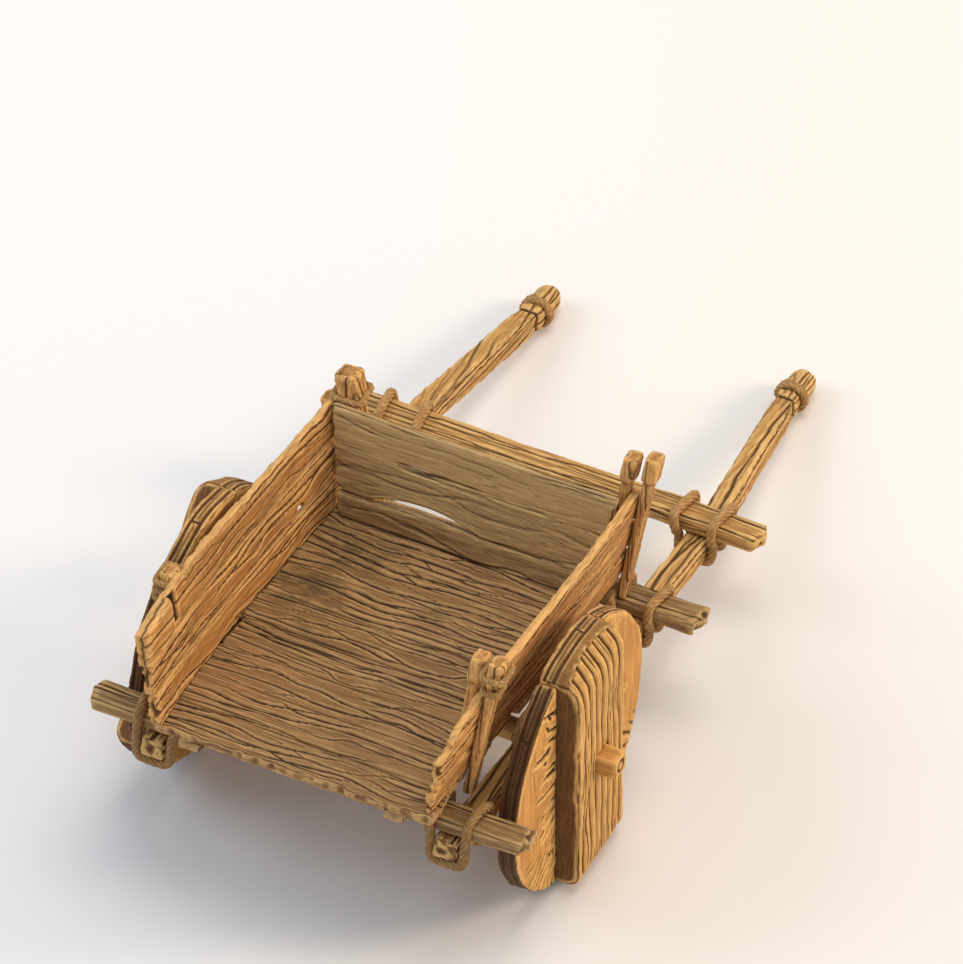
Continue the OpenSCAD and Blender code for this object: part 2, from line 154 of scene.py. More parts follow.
def smooth_step(low: float, high: float, value: Array) -> Array:
    """0 below low, 1 above high, smooth between."""
    t = np.clip((value - low) / (high - low), 0, 1)
    return t * t * (3 - 2 * t)


# ---------------------------------------------------------------- carving


@dataclass(frozen=True)
class Grain:
    """How a board's long cuts run, in mm.

    Args:
        pitch: spacing of the cuts across the board.
        stretch: length over which a cut comes and goes.
        wander: how far the cuts drift sideways.
        depth: depth of the deepest cut.
        half: half-width of the widest cut.
    """

    pitch: float = 1.5
    stretch: float = 15.0
    wander: float = 0.7
    depth: float = 0.3
    half: float = 0.2

    def phase(self, board: Array, seed: int) -> Array:
        """A value that is whole on each line."""
        slow = noise(board / (11.0, 6.0, 6.0) + seed * 0.71, seed + 1) * self.wander
        quick = noise(board / (4.5, 2.2, 2.2) + 4.4, seed + 2) * self.wander * 0.25
        return (board[:, 1] + 0.7 * board[:, 2] + slow + quick) / self.pitch + seed * 0.37

    def family(self, board: Array, seed: int) -> Array:
        """One family of long lines that wander together.

        Args:
            board: points as (along, across, through).
            seed: chooses the pattern.
        Returns:
            n by 3: the phase, a line's half-width in the same unit, its strength.
        """
        step = 0.1
        phase = self.phase(board, seed)
        slope = np.abs(self.phase(board + (0, step, 0), seed) - phase) / step
        index = np.round(phase)
        share = lattice_hash(np.stack([index, index * 0, index * 0], 1), seed)
        cells = np.stack([board[:, 0] / self.stretch + share * 40, index * 3.7, index * 0], 1)
        strength = smooth_step(-0.6, 0.35, noise(cells + 0.5, seed + 5)) * (0.25 + 0.75 * share**1.5)
        return np.stack([phase, self.half * (0.35 + 0.65 * strength) * slope, strength], 1)


def line_share(family: Array) -> Array:
    """How deep each point lies in a family's cuts, 0 to 1."""
    gap = np.abs(family[:, 0] - np.round(family[:, 0])) / np.maximum(family[:, 1], 1e-6)
    return family[:, 2] * (1 - smooth_step(0.0, 1.3, gap))


@dataclass(frozen=True)
class Nick:
    """A wedge-shaped knife cut on a face, from its deep end to its thin end, in mm."""

    start: tuple[float, float]
    end: tuple[float, float]
    half_width: float = 0.35
    depth: float = 0.45

    def cut(self, across: Array, up: Array) -> Array:
        """Depth of this cut at each point of the face, as a share of its full depth."""
        a, b = np.array(self.start), np.array(self.end)
        run = b - a
        t = ((across - a[0]) * run[0] + (up - a[1]) * run[1]) / (run @ run)
        t_in = np.clip(t, 0, 1)
        gap = np.hypot(across - a[0] - t_in * run[0], up - a[1] - t_in * run[1])
        half = self.half_width * (1.1 - 0.8 * t_in)
        return np.clip(1.3 * (1 - gap / half), 0, 1) * (1 - 0.4 * t_in)


class Carving:
    """One CAD node remeshed evenly, for knife work on its surface.

    Args:
        node: the CAD node.
        axes: the frame in which the work is laid out.
        along: the axis that the grain runs along.
        voxel: spacing of the surface's points in mm.
        seed: chooses this board's pattern.
    """

    def __init__(self, node: str, axes: Frame, along: Axis, voxel: float, seed: int) -> None:
        self.node, self.axes, self.along, self.voxel, self.seed = node, axes, along, voxel, seed
        self.mesh = self._remeshed(frame["nodes"][node])
        count = len(self.mesh.vertices)
        flat = np.zeros(count * 3)
        self.mesh.vertices.foreach_get("co", flat)
        self.place = axes.local(flat.reshape(-1, 3))
        self.mesh.vertices.foreach_get("normal", flat)
        self.normal = flat.reshape(-1, 3) @ axes.axes.T
        pairs = np.zeros(len(self.mesh.edges) * 2, np.int32)
        self.mesh.edges.foreach_get("vertices", pairs)
        self.pairs = pairs.reshape(-1, 2)
        self.links = np.maximum(np.bincount(pairs, minlength=count), 1)
        self.soften(2, 0.45)
        self.board = along.board(self.place)
        self.facing = np.abs(along.board(self.normal))
        self.families = [np.tile((0.5, 0.1, 0.0), (count, 1)) for _ in range(2)]
        self.grain = np.full(count, 6.0)
        self.deep, self.cut, self.tone, self.stain, self.painted_shade_dull = (np.zeros(count) for _ in range(5))

    def _remeshed(self, source: bpy.types.Object) -> bpy.types.Mesh:
        """A copy of the node's mesh, merged and remeshed evenly."""
        copy = bpy.data.objects.new("blank", source.data.copy())
        bpy.context.scene.collection.objects.link(copy)
        work = bmesh.new()
        work.from_mesh(copy.data)
        bmesh.ops.remove_doubles(work, verts=work.verts, dist=1e-7)
        bmesh.ops.recalc_face_normals(work, faces=work.faces)
        work.to_mesh(copy.data)
        work.free()
        remesh = copy.modifiers.new("even", "REMESH")
        remesh.mode = "VOXEL"
        remesh.voxel_size = self.voxel * MM
        result = bpy.data.meshes.new_from_object(
            copy.evaluated_get(bpy.context.evaluated_depsgraph_get()))
        bpy.data.objects.remove(copy)
        result.materials.clear()
        return result

    def around(self, values: Array) -> Array:
        """The mean of each point's neighbours."""
        total = np.zeros_like(values)
        np.add.at(total, self.pairs[:, 0], values[self.pairs[:, 1]])
        np.add.at(total, self.pairs[:, 1], values[self.pairs[:, 0]])
        return total / (self.links[:, None] if values.ndim > 1 else self.links)

    def soften(self, rounds: int, share: float) -> None:
        """Rounds the surface a little."""
        for _ in range(rounds):
            self.place += (self.around(self.place) - self.place) * share

    def bulge(self) -> Array:
        """How far each point stands out of its neighbours, -1 in a crease to 1 on an edge."""
        lean = np.sum((self.place - self.around(self.place)) * self.normal, axis=1) / self.voxel
        lean = 0.5 * lean + 0.5 * self.around(lean)
        return np.clip(lean * 6, -1, 1)

    def sink(self, depth: Array) -> None:
        """Moves each point into the board by a depth in mm."""
        self.place -= self.normal * depth[:, None]

    def paint_top_highlight(self, share: float) -> None:
        """Paints the narrow edges that face up lighter: a painted highlight where the light falls on them."""
        up = smooth_step(0.55, 0.85, self.normal @ self.axes.axes[:, 2])
        self.tone += share * up * smooth_step(0.75, 0.45, self.facing[:, 2])

    def wear_edges(self, depth: float) -> None:
        """Rounds and chips the arrises unevenly."""
        patch = 0.35 + 0.65 * smooth_step(-0.5, 0.6, noise(self.board / (2.6, 1.4, 1.4), self.seed + 20))
        self.sink(np.clip(self.bulge(), 0, 1) * patch * depth)

    def hollow(self, depth: float, span: float) -> None:
        """Presses slow hollows into the faces."""
        wave = noise(self.board / (span * 2, span, span), self.seed + 30)
        self.sink(depth * smooth_step(-0.6, 0.8, wave))

    def cut_grain(self, grain: Grain, where: Array | float = 1.0, edges: float = 1.0) -> None:
        """Cuts the two families of long grooves of a grain.

        Args:
            grain: how the grooves run.
            where: a mask of the places to cut.
            edges: how deep they are on the board's narrow edges, as a share.
        """
        face = smooth_step(0.35, 0.75, self.facing[:, 2])
        end = 1 - smooth_step(0.6, 0.85, self.facing[:, 0])
        fine = replace(grain, pitch=grain.pitch * 1.37, wander=grain.wander * 1.5, half=grain.half * 0.8)
        for slot, kind in enumerate((grain, fine)):
            family = kind.family(self.board, self.seed + 9 * slot)
            family[:, 2] *= (edges + (1 - edges) * face) * end * where
            self.cut_family(slot, family, grain.depth)

    def cut_family(self, slot: int, family: Array, depth: float) -> None:
        """Cuts one family of lines and keeps it for the paint."""
        self.sink(depth * line_share(family))
        self.families[slot] = family

    def cut_lines(self, line: Array, depth: float, where: Array) -> None:
        """Cuts grooves where a field is zero; the field is 1 at their edges."""
        self.sink(depth * where * (1 - smooth_step(0.0, 1.2, np.abs(line))))
        closer = np.abs(line) < np.abs(self.grain)
        self.grain = np.where(closer & (where > 0), line, self.grain)
        self.deep = np.where(closer & (where > 0), np.maximum(self.deep, where), self.deep)

    def nick(self, nicks: list[Nick], across: int, up: int, where: Array) -> None:
        """Cuts wedge nicks on the face that a mask picks."""
        for one in nicks:
            share = one.cut(self.place[:, across], self.place[:, up]) * where
            self.sink(share * one.depth)
            self.cut = np.maximum(self.cut, share)

    def ragged(self, axis: int, low: float, high: float, span: float, reach: float = 1.6) -> None:
        """Breaks the two ends along a frame axis unevenly, low and high being the most lost in mm."""
        others = [i for i in range(3) if i != axis]
        cells = np.zeros_like(self.place)
        cells[:, 0], cells[:, 1] = (self.place[:, i] / span for i in others)
        first, last = self.place[:, axis].min(), self.place[:, axis].max()
        for side, loss, edge in ((1, low, first), (-1, high, last)):
            near = np.clip(1 - np.abs(self.place[:, axis] - edge) / reach, 0, 1)
            bite = np.clip(noise(cells + 7.7 * side, self.seed + 40) + 0.25, 0, 1)
            self.place[:, axis] += side * near * bite * loss

    def finish(self, name: str, body: str, slot: str, tone: Array | float) -> bpy.types.Object:
        """Writes the surface back as a piece that stands for the node.

        Args:
            name: the piece's name.
            body: the CAD body that it rides on.
            slot: the material slot that it takes its finish from.
            tone: how light the board is painted, 0 being plain.
        Returns:
            The piece.
        """
        self.mesh.vertices.foreach_set("co", self.axes.world(self.place).astype(np.float32).ravel())
        # the bulge gives dry-brushed ridges and darker creases, the creases partly painted shade; it is damped
        # where the tread is painted in shade
        values = {"grain": np.clip(self.grain, -6, 6), "deep": self.deep, "cut": self.cut,
                  "drybrush_and_crease_shade": self.bulge() * (1 - self.painted_shade_dull), "tone": self.tone + tone, "stain": self.stain}
        for key, value in values.items():
            self.mesh.attributes.new(key, "FLOAT", "POINT").data.foreach_set(
                "value", value.astype(np.float32))
        shifted = self.board + np.array([self.seed * 31.7, self.seed * 5.3, 0.0])
        for key, value in {"board": shifted, "lines_a": self.families[0], "lines_b": self.families[1]}.items():
            self.mesh.attributes.new(key, "FLOAT_VECTOR", "POINT").data.foreach_set(
                "vector", value.astype(np.float32).ravel())
        self.mesh.polygons.foreach_set("use_smooth", np.ones(len(self.mesh.polygons), bool))
        self.mesh.update()
        return mount(self.mesh, name, body, slot, (self.node,))


def mount(mesh: bpy.types.Mesh, name: str, body: str, slot: str,
          nodes: tuple[str, ...] = ()) -> bpy.types.Object:
    """Puts a finished mesh in the scene as a piece.

    Args:
        mesh: the mesh, with its place in it.
        name: the piece's name.
        body: the CAD body that it rides on.
        slot: its material slot.
        nodes: the CAD nodes that it stands for.
    Returns:
        The piece.
    """
    piece = bpy.data.objects.new(name, mesh)
    mesh.name = name
    if not mesh.materials:
        mesh.materials.append(PAINTS[slot])
    bpy.context.scene.collection.objects.link(piece)
    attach(piece, body)
    if nodes:
        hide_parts(*nodes)
    LOG.info("%s rides on %s, %d faces", name, body, len(mesh.polygons))
    return piece


# ---------------------------------------------------------------- paint


Colour = tuple[float, float, float]


class Nodes:
    """A short way to wire a shader's nodes."""

    def __init__(self, tree: bpy.types.NodeTree) -> None:
        self.tree = tree

    def add(self, kind: str, inputs: dict | None = None, **settings: object) -> bpy.types.Node:
        """Adds a node, sets its properties, and fills or links its inputs."""
        node = self.tree.nodes.new(kind)
        for key, value in settings.items():
            setattr(node, key, value)
        for key, value in (inputs or {}).items():
            if isinstance(value, bpy.types.NodeSocket):
                self.tree.links.new(value, node.inputs[key])
            else:
                node.inputs[key].default_value = value
        return node

    def attribute(self, name: str, vector: bool = False) -> bpy.types.NodeSocket:
        """A mesh attribute as a value or a vector."""
        return self.add("ShaderNodeAttribute", attribute_name=name).outputs["Vector" if vector else "Fac"]

    def math(self, kind: str, a: object, b: object = 0.0) -> bpy.types.NodeSocket:
        """One sum of two values."""
        return self.add("ShaderNodeMath", {0: a, 1: b}, operation=kind).outputs[0]

    def span(self, value: object, low: float, high: float,
             to_low: float, to_high: float) -> bpy.types.NodeSocket:
        """A value carried smoothly from one range to another, and held at its ends."""
        ends = {"Value": value, "From Min": low, "From Max": high, "To Min": to_low, "To Max": to_high}
        return self.add("ShaderNodeMapRange", ends, interpolation_type="SMOOTHSTEP").outputs["Result"]

    def mix(self, share: object, a: object, b: object) -> bpy.types.NodeSocket:
        """Colour a toward colour b by a share."""
        node = self.add("ShaderNodeMix", data_type="RGBA")
        for index, value in ((0, share), (6, a), (7, b)):
            if isinstance(value, bpy.types.NodeSocket):
                self.tree.links.new(value, node.inputs[index])
            else:
                node.inputs[index].default_value = value if index == 0 else (*value, 1.0)
        return node.outputs[2]

    def noise(self, vector: object, scale: float, detail: float = 3.0,
              rough: float = 0.55) -> bpy.types.NodeSocket:
        """Noise over a vector, 0 to 1."""
        ends = {"Vector": vector, "Scale": scale, "Detail": detail, "Roughness": rough}
        return self.add("ShaderNodeTexNoise", ends).outputs["Fac"]

    def scaled(self, vector: object, scale: Colour) -> bpy.types.NodeSocket:
        """A vector scaled on each axis."""
        return self.add("ShaderNodeVectorMath", {0: vector, 1: scale}, operation="MULTIPLY").outputs[0]


@dataclass(frozen=True)
class WoodPaint:
    """Hand-painted carved wood: a base coat, dark paint washed into the cuts, painted shade in creases and round
    the cuts, a dry-brushed light on ridges.

    Args:
        wash_and_shade: colour at the bottom of a cut, also taken by the painted shade.
        shade: the base coat's darker streaks.
        body: the base coat.
        light: the dry-brushed colour, also taken by the painted highlights.
        moss: colour of the green stain.
        brush: strength of the dry brush.
        roughness: how matt the paint is.
    """

    wash_and_shade: Colour
    shade: Colour
    body: Colour
    light: Colour
    moss: Colour = (0.06, 0.052, 0.012)
    brush: float = 0.8
    roughness: float = 0.68

    def lines(self, n: Nodes, family: str) -> bpy.types.NodeSocket:
        """The dark of one family of cuts with painted shade round each cut, from its phase, half-width and
        strength.
        """
        split = n.add("ShaderNodeSeparateXYZ", {"Vector": n.attribute(family, vector=True)}).outputs
        gap = n.math("ABSOLUTE", n.math("SUBTRACT", split["X"], n.math("ROUND", split["X"])))
        share = n.math("DIVIDE", gap, split["Y"])
        # the wider second term is painted shade round the cut
        near = n.math("MAXIMUM", n.span(share, 0.2, 1.1, 1.0, 0.0), n.span(share, 0.6, 2.6, 0.4, 0.0))
        return n.math("MULTIPLY", near, n.span(split["Z"], 0.0, 0.55, 0.0, 1.0))

    def build(self, name: str) -> bpy.types.Material:
        """Makes the material."""
        paint = bpy.data.materials.new(name)
        paint.use_nodes = True
        n = Nodes(paint.node_tree)
        shader = n.tree.nodes["Principled BSDF"]
        board = n.attribute("board", vector=True)
        place = n.add("ShaderNodeTexCoord").outputs["Object"]
        line = n.math("ABSOLUTE", n.attribute("grain"))
        deep = n.attribute("deep")
        drybrush_and_crease_shade = n.attribute("drybrush_and_crease_shade")
        streak = n.noise(n.scaled(board, (0.13, 1.7, 1.7)), 1.0, 6.0, 0.68)
        fibre = n.noise(n.scaled(board, (0.45, 7.0, 7.0)), 1.0, 4.0, 0.65)
        blotch = n.noise(place, 170.0, 2.0)
        coat = n.mix(n.span(streak, 0.36, 0.6, 0.0, 1.0), self.shade, self.body)
        coat = n.mix(n.span(blotch, 0.35, 0.75, 0.0, 0.5), coat, self.shade)
        tone = n.math("ADD", n.attribute("tone"), n.math("MULTIPLY", n.math("SUBTRACT", fibre, 0.5), 0.9))
        # positive tone, which also carries the painted highlight on upward-facing edges, paints toward the light
        # colour
        coat = n.mix(n.span(tone, 0.0, 0.5, 0.0, 0.6), coat, self.light)
        # negative tone, which also carries painted shade, paints toward the dark colour
        coat = n.mix(n.span(tone, 0.0, -0.9, 0.0, 0.9), coat, self.wash_and_shade)
        ridge = n.math("MULTIPLY", n.span(drybrush_and_crease_shade, 0.03, 0.36, 0.0, self.brush),
                       n.span(fibre, 0.3, 0.6, 0.35, 1.0))
        coat = n.mix(ridge, coat, self.light)
        patchy = n.span(n.noise(place, 420.0, 3.0), 0.35, 0.6, 0.25, 1.0)
        coat = n.mix(n.math("MULTIPLY", n.attribute("stain"), patchy), coat, self.moss)
        # darker in creases: partly dark paint that the model has in its recesses, partly painted shade
        hollow = n.span(drybrush_and_crease_shade, -0.05, -0.6, 0.0, 0.8)
        groove = n.math("MULTIPLY", n.span(line, 0.2, 1.1, 1.0, 0.0), n.span(deep, 0.05, 0.6, 0.0, 1.0))
        for family in ("lines_a", "lines_b"):
            groove = n.math("MAXIMUM", groove, self.lines(n, family))
        scratch = n.noise(n.scaled(board, (0.05, 2.2, 2.2)), 1.0, 1.0, 0.4)
        scratch = n.math("ABSOLUTE", n.math("SUBTRACT", scratch, 0.5))
        scratch = n.math("MULTIPLY", n.span(scratch, 0.003, 0.02, 0.45, 0.0),
                         n.span(streak, 0.4, 0.6, 0.2, 1.0))
        groove = n.math("MAXIMUM", groove, scratch)
        dark = n.math("MAXIMUM", n.math("MAXIMUM", hollow, groove),
                      n.span(n.attribute("cut"), 0.05, 0.45, 0.0, 1.0))
        coat = n.mix(n.math("MULTIPLY", dark, 0.93), coat, self.wash_and_shade)
        n.tree.links.new(coat, shader.inputs["Base Color"])
        matt = n.span(streak, 0.3, 0.7, self.roughness + 0.1, self.roughness - 0.08)
        n.tree.links.new(matt, shader.inputs["Roughness"])
        shader.inputs["Specular IOR Level"].default_value = 0.32
        height = n.math("ADD", n.math("MULTIPLY", fibre, 0.5), n.math("MULTIPLY", streak, 0.6))
        height = n.math("SUBTRACT", height, n.math("MULTIPLY", groove, 0.9))
        bump = n.add("ShaderNodeBump", {"Height": height, "Strength": 0.9, "Distance": 0.0003})
        n.tree.links.new(bump.outputs["Normal"], shader.inputs["Normal"])
        return paint


@dataclass(frozen=True)
class RopePaint:
    """Painted rope: tan strands with dark paint washed between them, partly painted shade."""

    wash_and_shade: Colour = (0.05, 0.02, 0.006)
    body: Colour = (0.40, 0.205, 0.066)
    light: Colour = (0.64, 0.39, 0.15)

    def build(self, name: str) -> bpy.types.Material:
        """Makes the material."""
        paint = bpy.data.materials.new(name)
        paint.use_nodes = True
        n = Nodes(paint.node_tree)
        shader = n.tree.nodes["Principled BSDF"]
        place = n.add("ShaderNodeTexCoord").outputs["Object"]
        speck = n.noise(place, 1600.0, 3.0)
        drybrush_and_crease_shade = n.attribute("drybrush_and_crease_shade")
        coat = n.mix(n.span(speck, 0.4, 0.75, 0.0, 0.8), self.body, self.light)
        coat = n.mix(n.span(n.attribute("tone"), 0.0, -1.0, 0.0, 0.8), coat, self.wash_and_shade)
        # darker between the strands: partly dark paint on the model's rope, partly painted shade
        coat = n.mix(n.span(drybrush_and_crease_shade, 0.35, -0.25, 0.0, 0.9), coat, self.wash_and_shade)
        n.tree.links.new(coat, shader.inputs["Base Color"])
        shader.inputs["Roughness"].default_value = 0.72
        shader.inputs["Specular IOR Level"].default_value = 0.3
        bump = n.add("ShaderNodeBump", {"Height": speck, "Strength": 0.4, "Distance": 0.0001})
        n.tree.links.new(bump.outputs["Normal"], shader.inputs["Normal"])
        return paint


PAINTS: dict[str, bpy.types.Material] = {
    "floor_wood": WoodPaint((0.042, 0.015, 0.005), (0.236, 0.113, 0.037), (0.394, 0.194, 0.067),
                            (0.62, 0.358, 0.14)).build("floor_wood"),
    "side_wood": WoodPaint((0.055, 0.018, 0.005), (0.354, 0.139, 0.033), (0.59, 0.262, 0.068),
                           (0.897, 0.492, 0.162)).build("side_wood"),
    "wheel_wood": WoodPaint((0.066, 0.022, 0.005), (0.496, 0.214, 0.049), (0.755, 0.353, 0.085),
                            (0.95, 0.556, 0.18)).build("wheel_wood"),
    "shaft_wood": WoodPaint((0.055, 0.02, 0.005), (0.378, 0.177, 0.043), (0.637, 0.321, 0.085),
                            (0.92, 0.556, 0.199)).build("shaft_wood"),
    "frame_wood": WoodPaint((0.033, 0.013, 0.004), (0.2, 0.1, 0.032), (0.37, 0.2, 0.075),
                            (0.68, 0.42, 0.17)).build("frame_wood"),
    "rope": RopePaint().build("rope"),
}


# ---------------------------------------------------------------- rope


class RopeWalk:
    """Lays strands along a path with Geometry Nodes.

    Args:
        strands: how many strands are laid together.
        strand_radius: radius of one strand in mm.
        lay_radius: distance of a strand's middle from the rope's middle in mm.
        lay: length of one full turn of the strands in mm.
    """

    STEP = 0.22
    SIDES = 7

    def __init__(self, strands: int = 3, strand_radius: float = 0.38, lay_radius: float = 0.25,
                 lay: float = 4.6) -> None:
        self.strands, self.strand_radius = strands, strand_radius
        self.lay_radius, self.lay = lay_radius, lay
        self.tree = self._tree()

    def _tree(self) -> bpy.types.NodeTree:
        """The node tree: a line in, twisted strands out."""
        tree = bpy.data.node_groups.new("laid_rope", "GeometryNodeTree")
        face = tree.interface
        face.new_socket("Geometry", in_out="INPUT", socket_type="NodeSocketGeometry")
        for name in ("Strand radius", "Lay radius", "Lay", "Step"):
            face.new_socket(name, in_out="INPUT", socket_type="NodeSocketFloat")
        face.new_socket("Strands", in_out="INPUT", socket_type="NodeSocketInt")
        face.new_socket("Paint", in_out="INPUT", socket_type="NodeSocketMaterial")
        face.new_socket("Geometry", in_out="OUTPUT", socket_type="NodeSocketGeometry")
        n = Nodes(tree)
        given = n.add("NodeGroupInput").outputs
        line = n.add("GeometryNodeMeshToCurve", {"Mesh": given["Geometry"]}).outputs["Curve"]
        even = n.add("GeometryNodeResampleCurve", {"Curve": line, "Length": given["Step"]}, mode="LENGTH")
        copies = n.add("GeometryNodeDuplicateElements",
                       {"Geometry": even.outputs["Curve"], "Amount": given["Strands"]}, domain="SPLINE")
        run = n.add("GeometryNodeSplineParameter").outputs["Length"]
        share = n.math("DIVIDE", copies.outputs["Duplicate Index"], given["Strands"])
        turn = n.math("MULTIPLY", n.math("ADD", n.math("DIVIDE", run, given["Lay"]), share), 2 * math.pi)
        side = n.add("GeometryNodeInputNormal").outputs["Normal"]
        ahead = n.add("GeometryNodeInputTangent").outputs["Tangent"]
        third = n.add("ShaderNodeVectorMath", {0: ahead, 1: side}, operation="CROSS_PRODUCT").outputs[0]
        parts = []
        for vector, wave in ((side, "COSINE"), (third, "SINE")):
            reach = n.math("MULTIPLY", n.math(wave, turn), given["Lay radius"])
            scaled = n.add("ShaderNodeVectorMath", {0: vector, "Scale": reach}, operation="SCALE")
            parts.append(scaled.outputs[0])
        offset = n.add("ShaderNodeVectorMath", {0: parts[0], 1: parts[1]}, operation="ADD").outputs[0]
        laid = n.add("GeometryNodeSetPosition", {"Geometry": copies.outputs["Geometry"], "Offset": offset})
        ring = n.add("GeometryNodeCurvePrimitiveCircle",
                     {"Resolution": self.SIDES, "Radius": given["Strand radius"]})
        solid = n.add("GeometryNodeCurveToMesh", {"Curve": laid.outputs["Geometry"],
                                                  "Profile Curve": ring.outputs["Curve"], "Fill Caps": True})
        real = n.add("GeometryNodeRealizeInstances", {"Geometry": solid.outputs["Mesh"]})
        dressed = n.add("GeometryNodeSetMaterial",
                        {"Geometry": real.outputs["Geometry"], "Material": given["Paint"]})
        n.add("NodeGroupOutput", {"Geometry": dressed.outputs["Geometry"]})
        return tree

    def lay_along(self, paths: list[tuple[Array, bool]], name: str, nodes: tuple[str, ...] = (),
                  tone: float = -0.25) -> bpy.types.Object:
        """Makes one piece of rope along several paths.

        Args:
            paths: each path's points in metres, and whether it closes on itself.
            name: the piece's name.
            nodes: the CAD nodes that it stands for.
            tone: how much lighter than plain it is painted.
        Returns:
            The piece, riding on the cart.
        """
        points, edges = [], []
        for path, closed in paths:
            first, count = len(points), len(path)
            points += [tuple(p) for p in path]
            edges += [(first + i, first + (i + 1) % count) for i in range(count if closed else count - 1)]
        line = bpy.data.meshes.new(name + "_line")
        line.from_pydata(points, edges, [])
        holder = bpy.data.objects.new(name + "_line", line)
        bpy.context.scene.collection.objects.link(holder)
        change = holder.modifiers.new("rope", "NODES")
        change.node_group = self.tree
        values = {"Strand radius": self.strand_radius * MM, "Lay radius": self.lay_radius * MM,
                  "Lay": self.lay * MM, "Step": self.STEP * MM, "Strands": self.strands,
                  "Paint": PAINTS["rope"]}
        for item in self.tree.interface.items_tree:
            if item.in_out == "INPUT" and item.name in values:
                change[item.identifier] = values[item.name]
        mesh = bpy.data.meshes.new_from_object(holder.evaluated_get(bpy.context.evaluated_depsgraph_get()))
        holder.modifiers.remove(change)
        bpy.data.objects.remove(holder)
        self._outward(mesh)
        self._mark_creases(mesh, [p for p, _ in paths])
        mesh.attributes.new("tone", "FLOAT", "POINT").data.foreach_set("value", [tone] * len(mesh.vertices))
        return mount(mesh, name, "cart", "rope", nodes)

    def _outward(self, mesh: bpy.types.Mesh) -> None:
        """Points every face outward."""
        work = bmesh.new()
        work.from_mesh(mesh)
        bmesh.ops.recalc_face_normals(work, faces=work.faces)
        work.to_mesh(mesh)
        work.free()

    def _mark_creases(self, mesh: bpy.types.Mesh, paths: list[Array]) -> None:
        """Stores how far each point stands from the rope's middle line, low between strands."""
        flat = np.zeros(len(mesh.vertices) * 3)
        mesh.vertices.foreach_get("co", flat)
        place = flat.reshape(-1, 3)
        middle = np.vstack([dense(p) for p in paths])
        gap = np.array([np.sqrt(((middle - p) ** 2).sum(1).min()) for p in place]) / MM
        out = (gap - self.lay_radius) / self.strand_radius
        mesh.attributes.new("drybrush_and_crease_shade", "FLOAT", "POINT").data.foreach_set("value", out.astype(np.float32))
        mesh.polygons.foreach_set("use_smooth", np.ones(len(mesh.polygons), bool))


def dense(path: Array, parts: int = 6) -> Array:
    """A path's points with even points between them."""
    steps = np.linspace(0, 1, parts, endpoint=False)
    closed = np.vstack([path, path[:1]])
    return np.vstack([closed[:-1] + (closed[1:] - closed[:-1]) * t for t in steps])


def rounded(path: Array, rounds: int = 2) -> Array:
    """A closed path with its corners cut off evenly."""
    for _ in range(rounds):
        after = np.roll(path, -1, axis=0)
        path = np.stack([path * 0.75 + after * 0.25, path * 0.25 + after * 0.75], 1).reshape(-1, 3)
    return path


def rounded_loop(half_a: float, half_b: float, corner: float, steps: int = 5) -> Array:
    """A rounded rectangle's points about zero, in two directions.

    Args:
        half_a: half its size in the first direction, in mm.
        half_b: half its size in the second.
        corner: its corner radius.
        steps: points on each corner.
    Returns:
        n by 2 points.
    """
    points = []
    for quarter, (sa, sb) in enumerate(((1, 1), (-1, 1), (-1, -1), (1, -1))):
        for angle in np.linspace(quarter, quarter + 1, steps) * math.pi / 2:
            points.append((sa * (half_a - corner) + corner * math.cos(angle),
                           sb * (half_b - corner) + corner * math.sin(angle)))
    return np.array(points)


# ---------------------------------------------------------------- the cart's sub-assemblies


@dataclass
class SubAssembly:
    """A group of boards carved in the cart's own frame.

    Args:
        chassis: the cart's frame.
        seed: chooses the group's patterns.
    """

    chassis: Frame
    seed: int = 1

    def box(self, node: str) -> tuple[Array, Array]:
        """A CAD node's corners in the cart's frame, in mm."""
        flat = np.zeros(len(frame["nodes"][node].data.vertices) * 3)
        frame["nodes"][node].data.vertices.foreach_get("co", flat)
        local = self.chassis.local(flat.reshape(-1, 3))
        return local.min(0), local.max(0)

    def plank(self, node: str, along: Axis, voxel: float, seed: int) -> Carving:
        """Starts the carving of one board."""
        return Carving(node, self.chassis, along, voxel, self.seed * 100 + seed)


@dataclass
class Bed(SubAssembly):
    """The floor's planks, cut across the cart in long wandering grooves."""

    voxel: float = 0.24
    planks: int = 8
    grain: Grain = Grain(pitch=1.35, stretch=12.0, wander=1.2, depth=0.5, half=0.27)
    stains: tuple[tuple[float, float, float, float], ...] = (
        (6.0, 14.0, 5.0, 0.75), (14.0, 11.5, 4.5, 0.6), (9.3, -1.2, 1.8, 0.6), (-3.0, 10.0, 5.0, 0.3))

    def build(self) -> None:
        """Makes every floor plank; one grain runs over them all."""
        for i in range(self.planks):
            board = self.plank(f"floor_plank_{i + 1}", Axis.ACROSS, self.voxel, 0)
            board.wear_edges(0.08)
            board.hollow(0.12, 5.0)
            board.cut_grain(self.grain, edges=0.2)
            board.seed += i + 1
            board.ragged(1, 0.12, 0.12, 1.1)
            if i == 0:
                board.ragged(0, 0.6, 0.0, 1.6, 1.2)
            for x, y, reach, share in self.stains:
                near = np.exp(-((board.place[:, 0] - x) ** 2 + (board.place[:, 1] - y) ** 2) / reach**2)
                board.stain = np.maximum(board.stain, near * share)
            tone = 0.08 * math.sin(i * 2.4)
            board.finish(f"floor_board_{i + 1}", "cart", "floor_wood", tone)


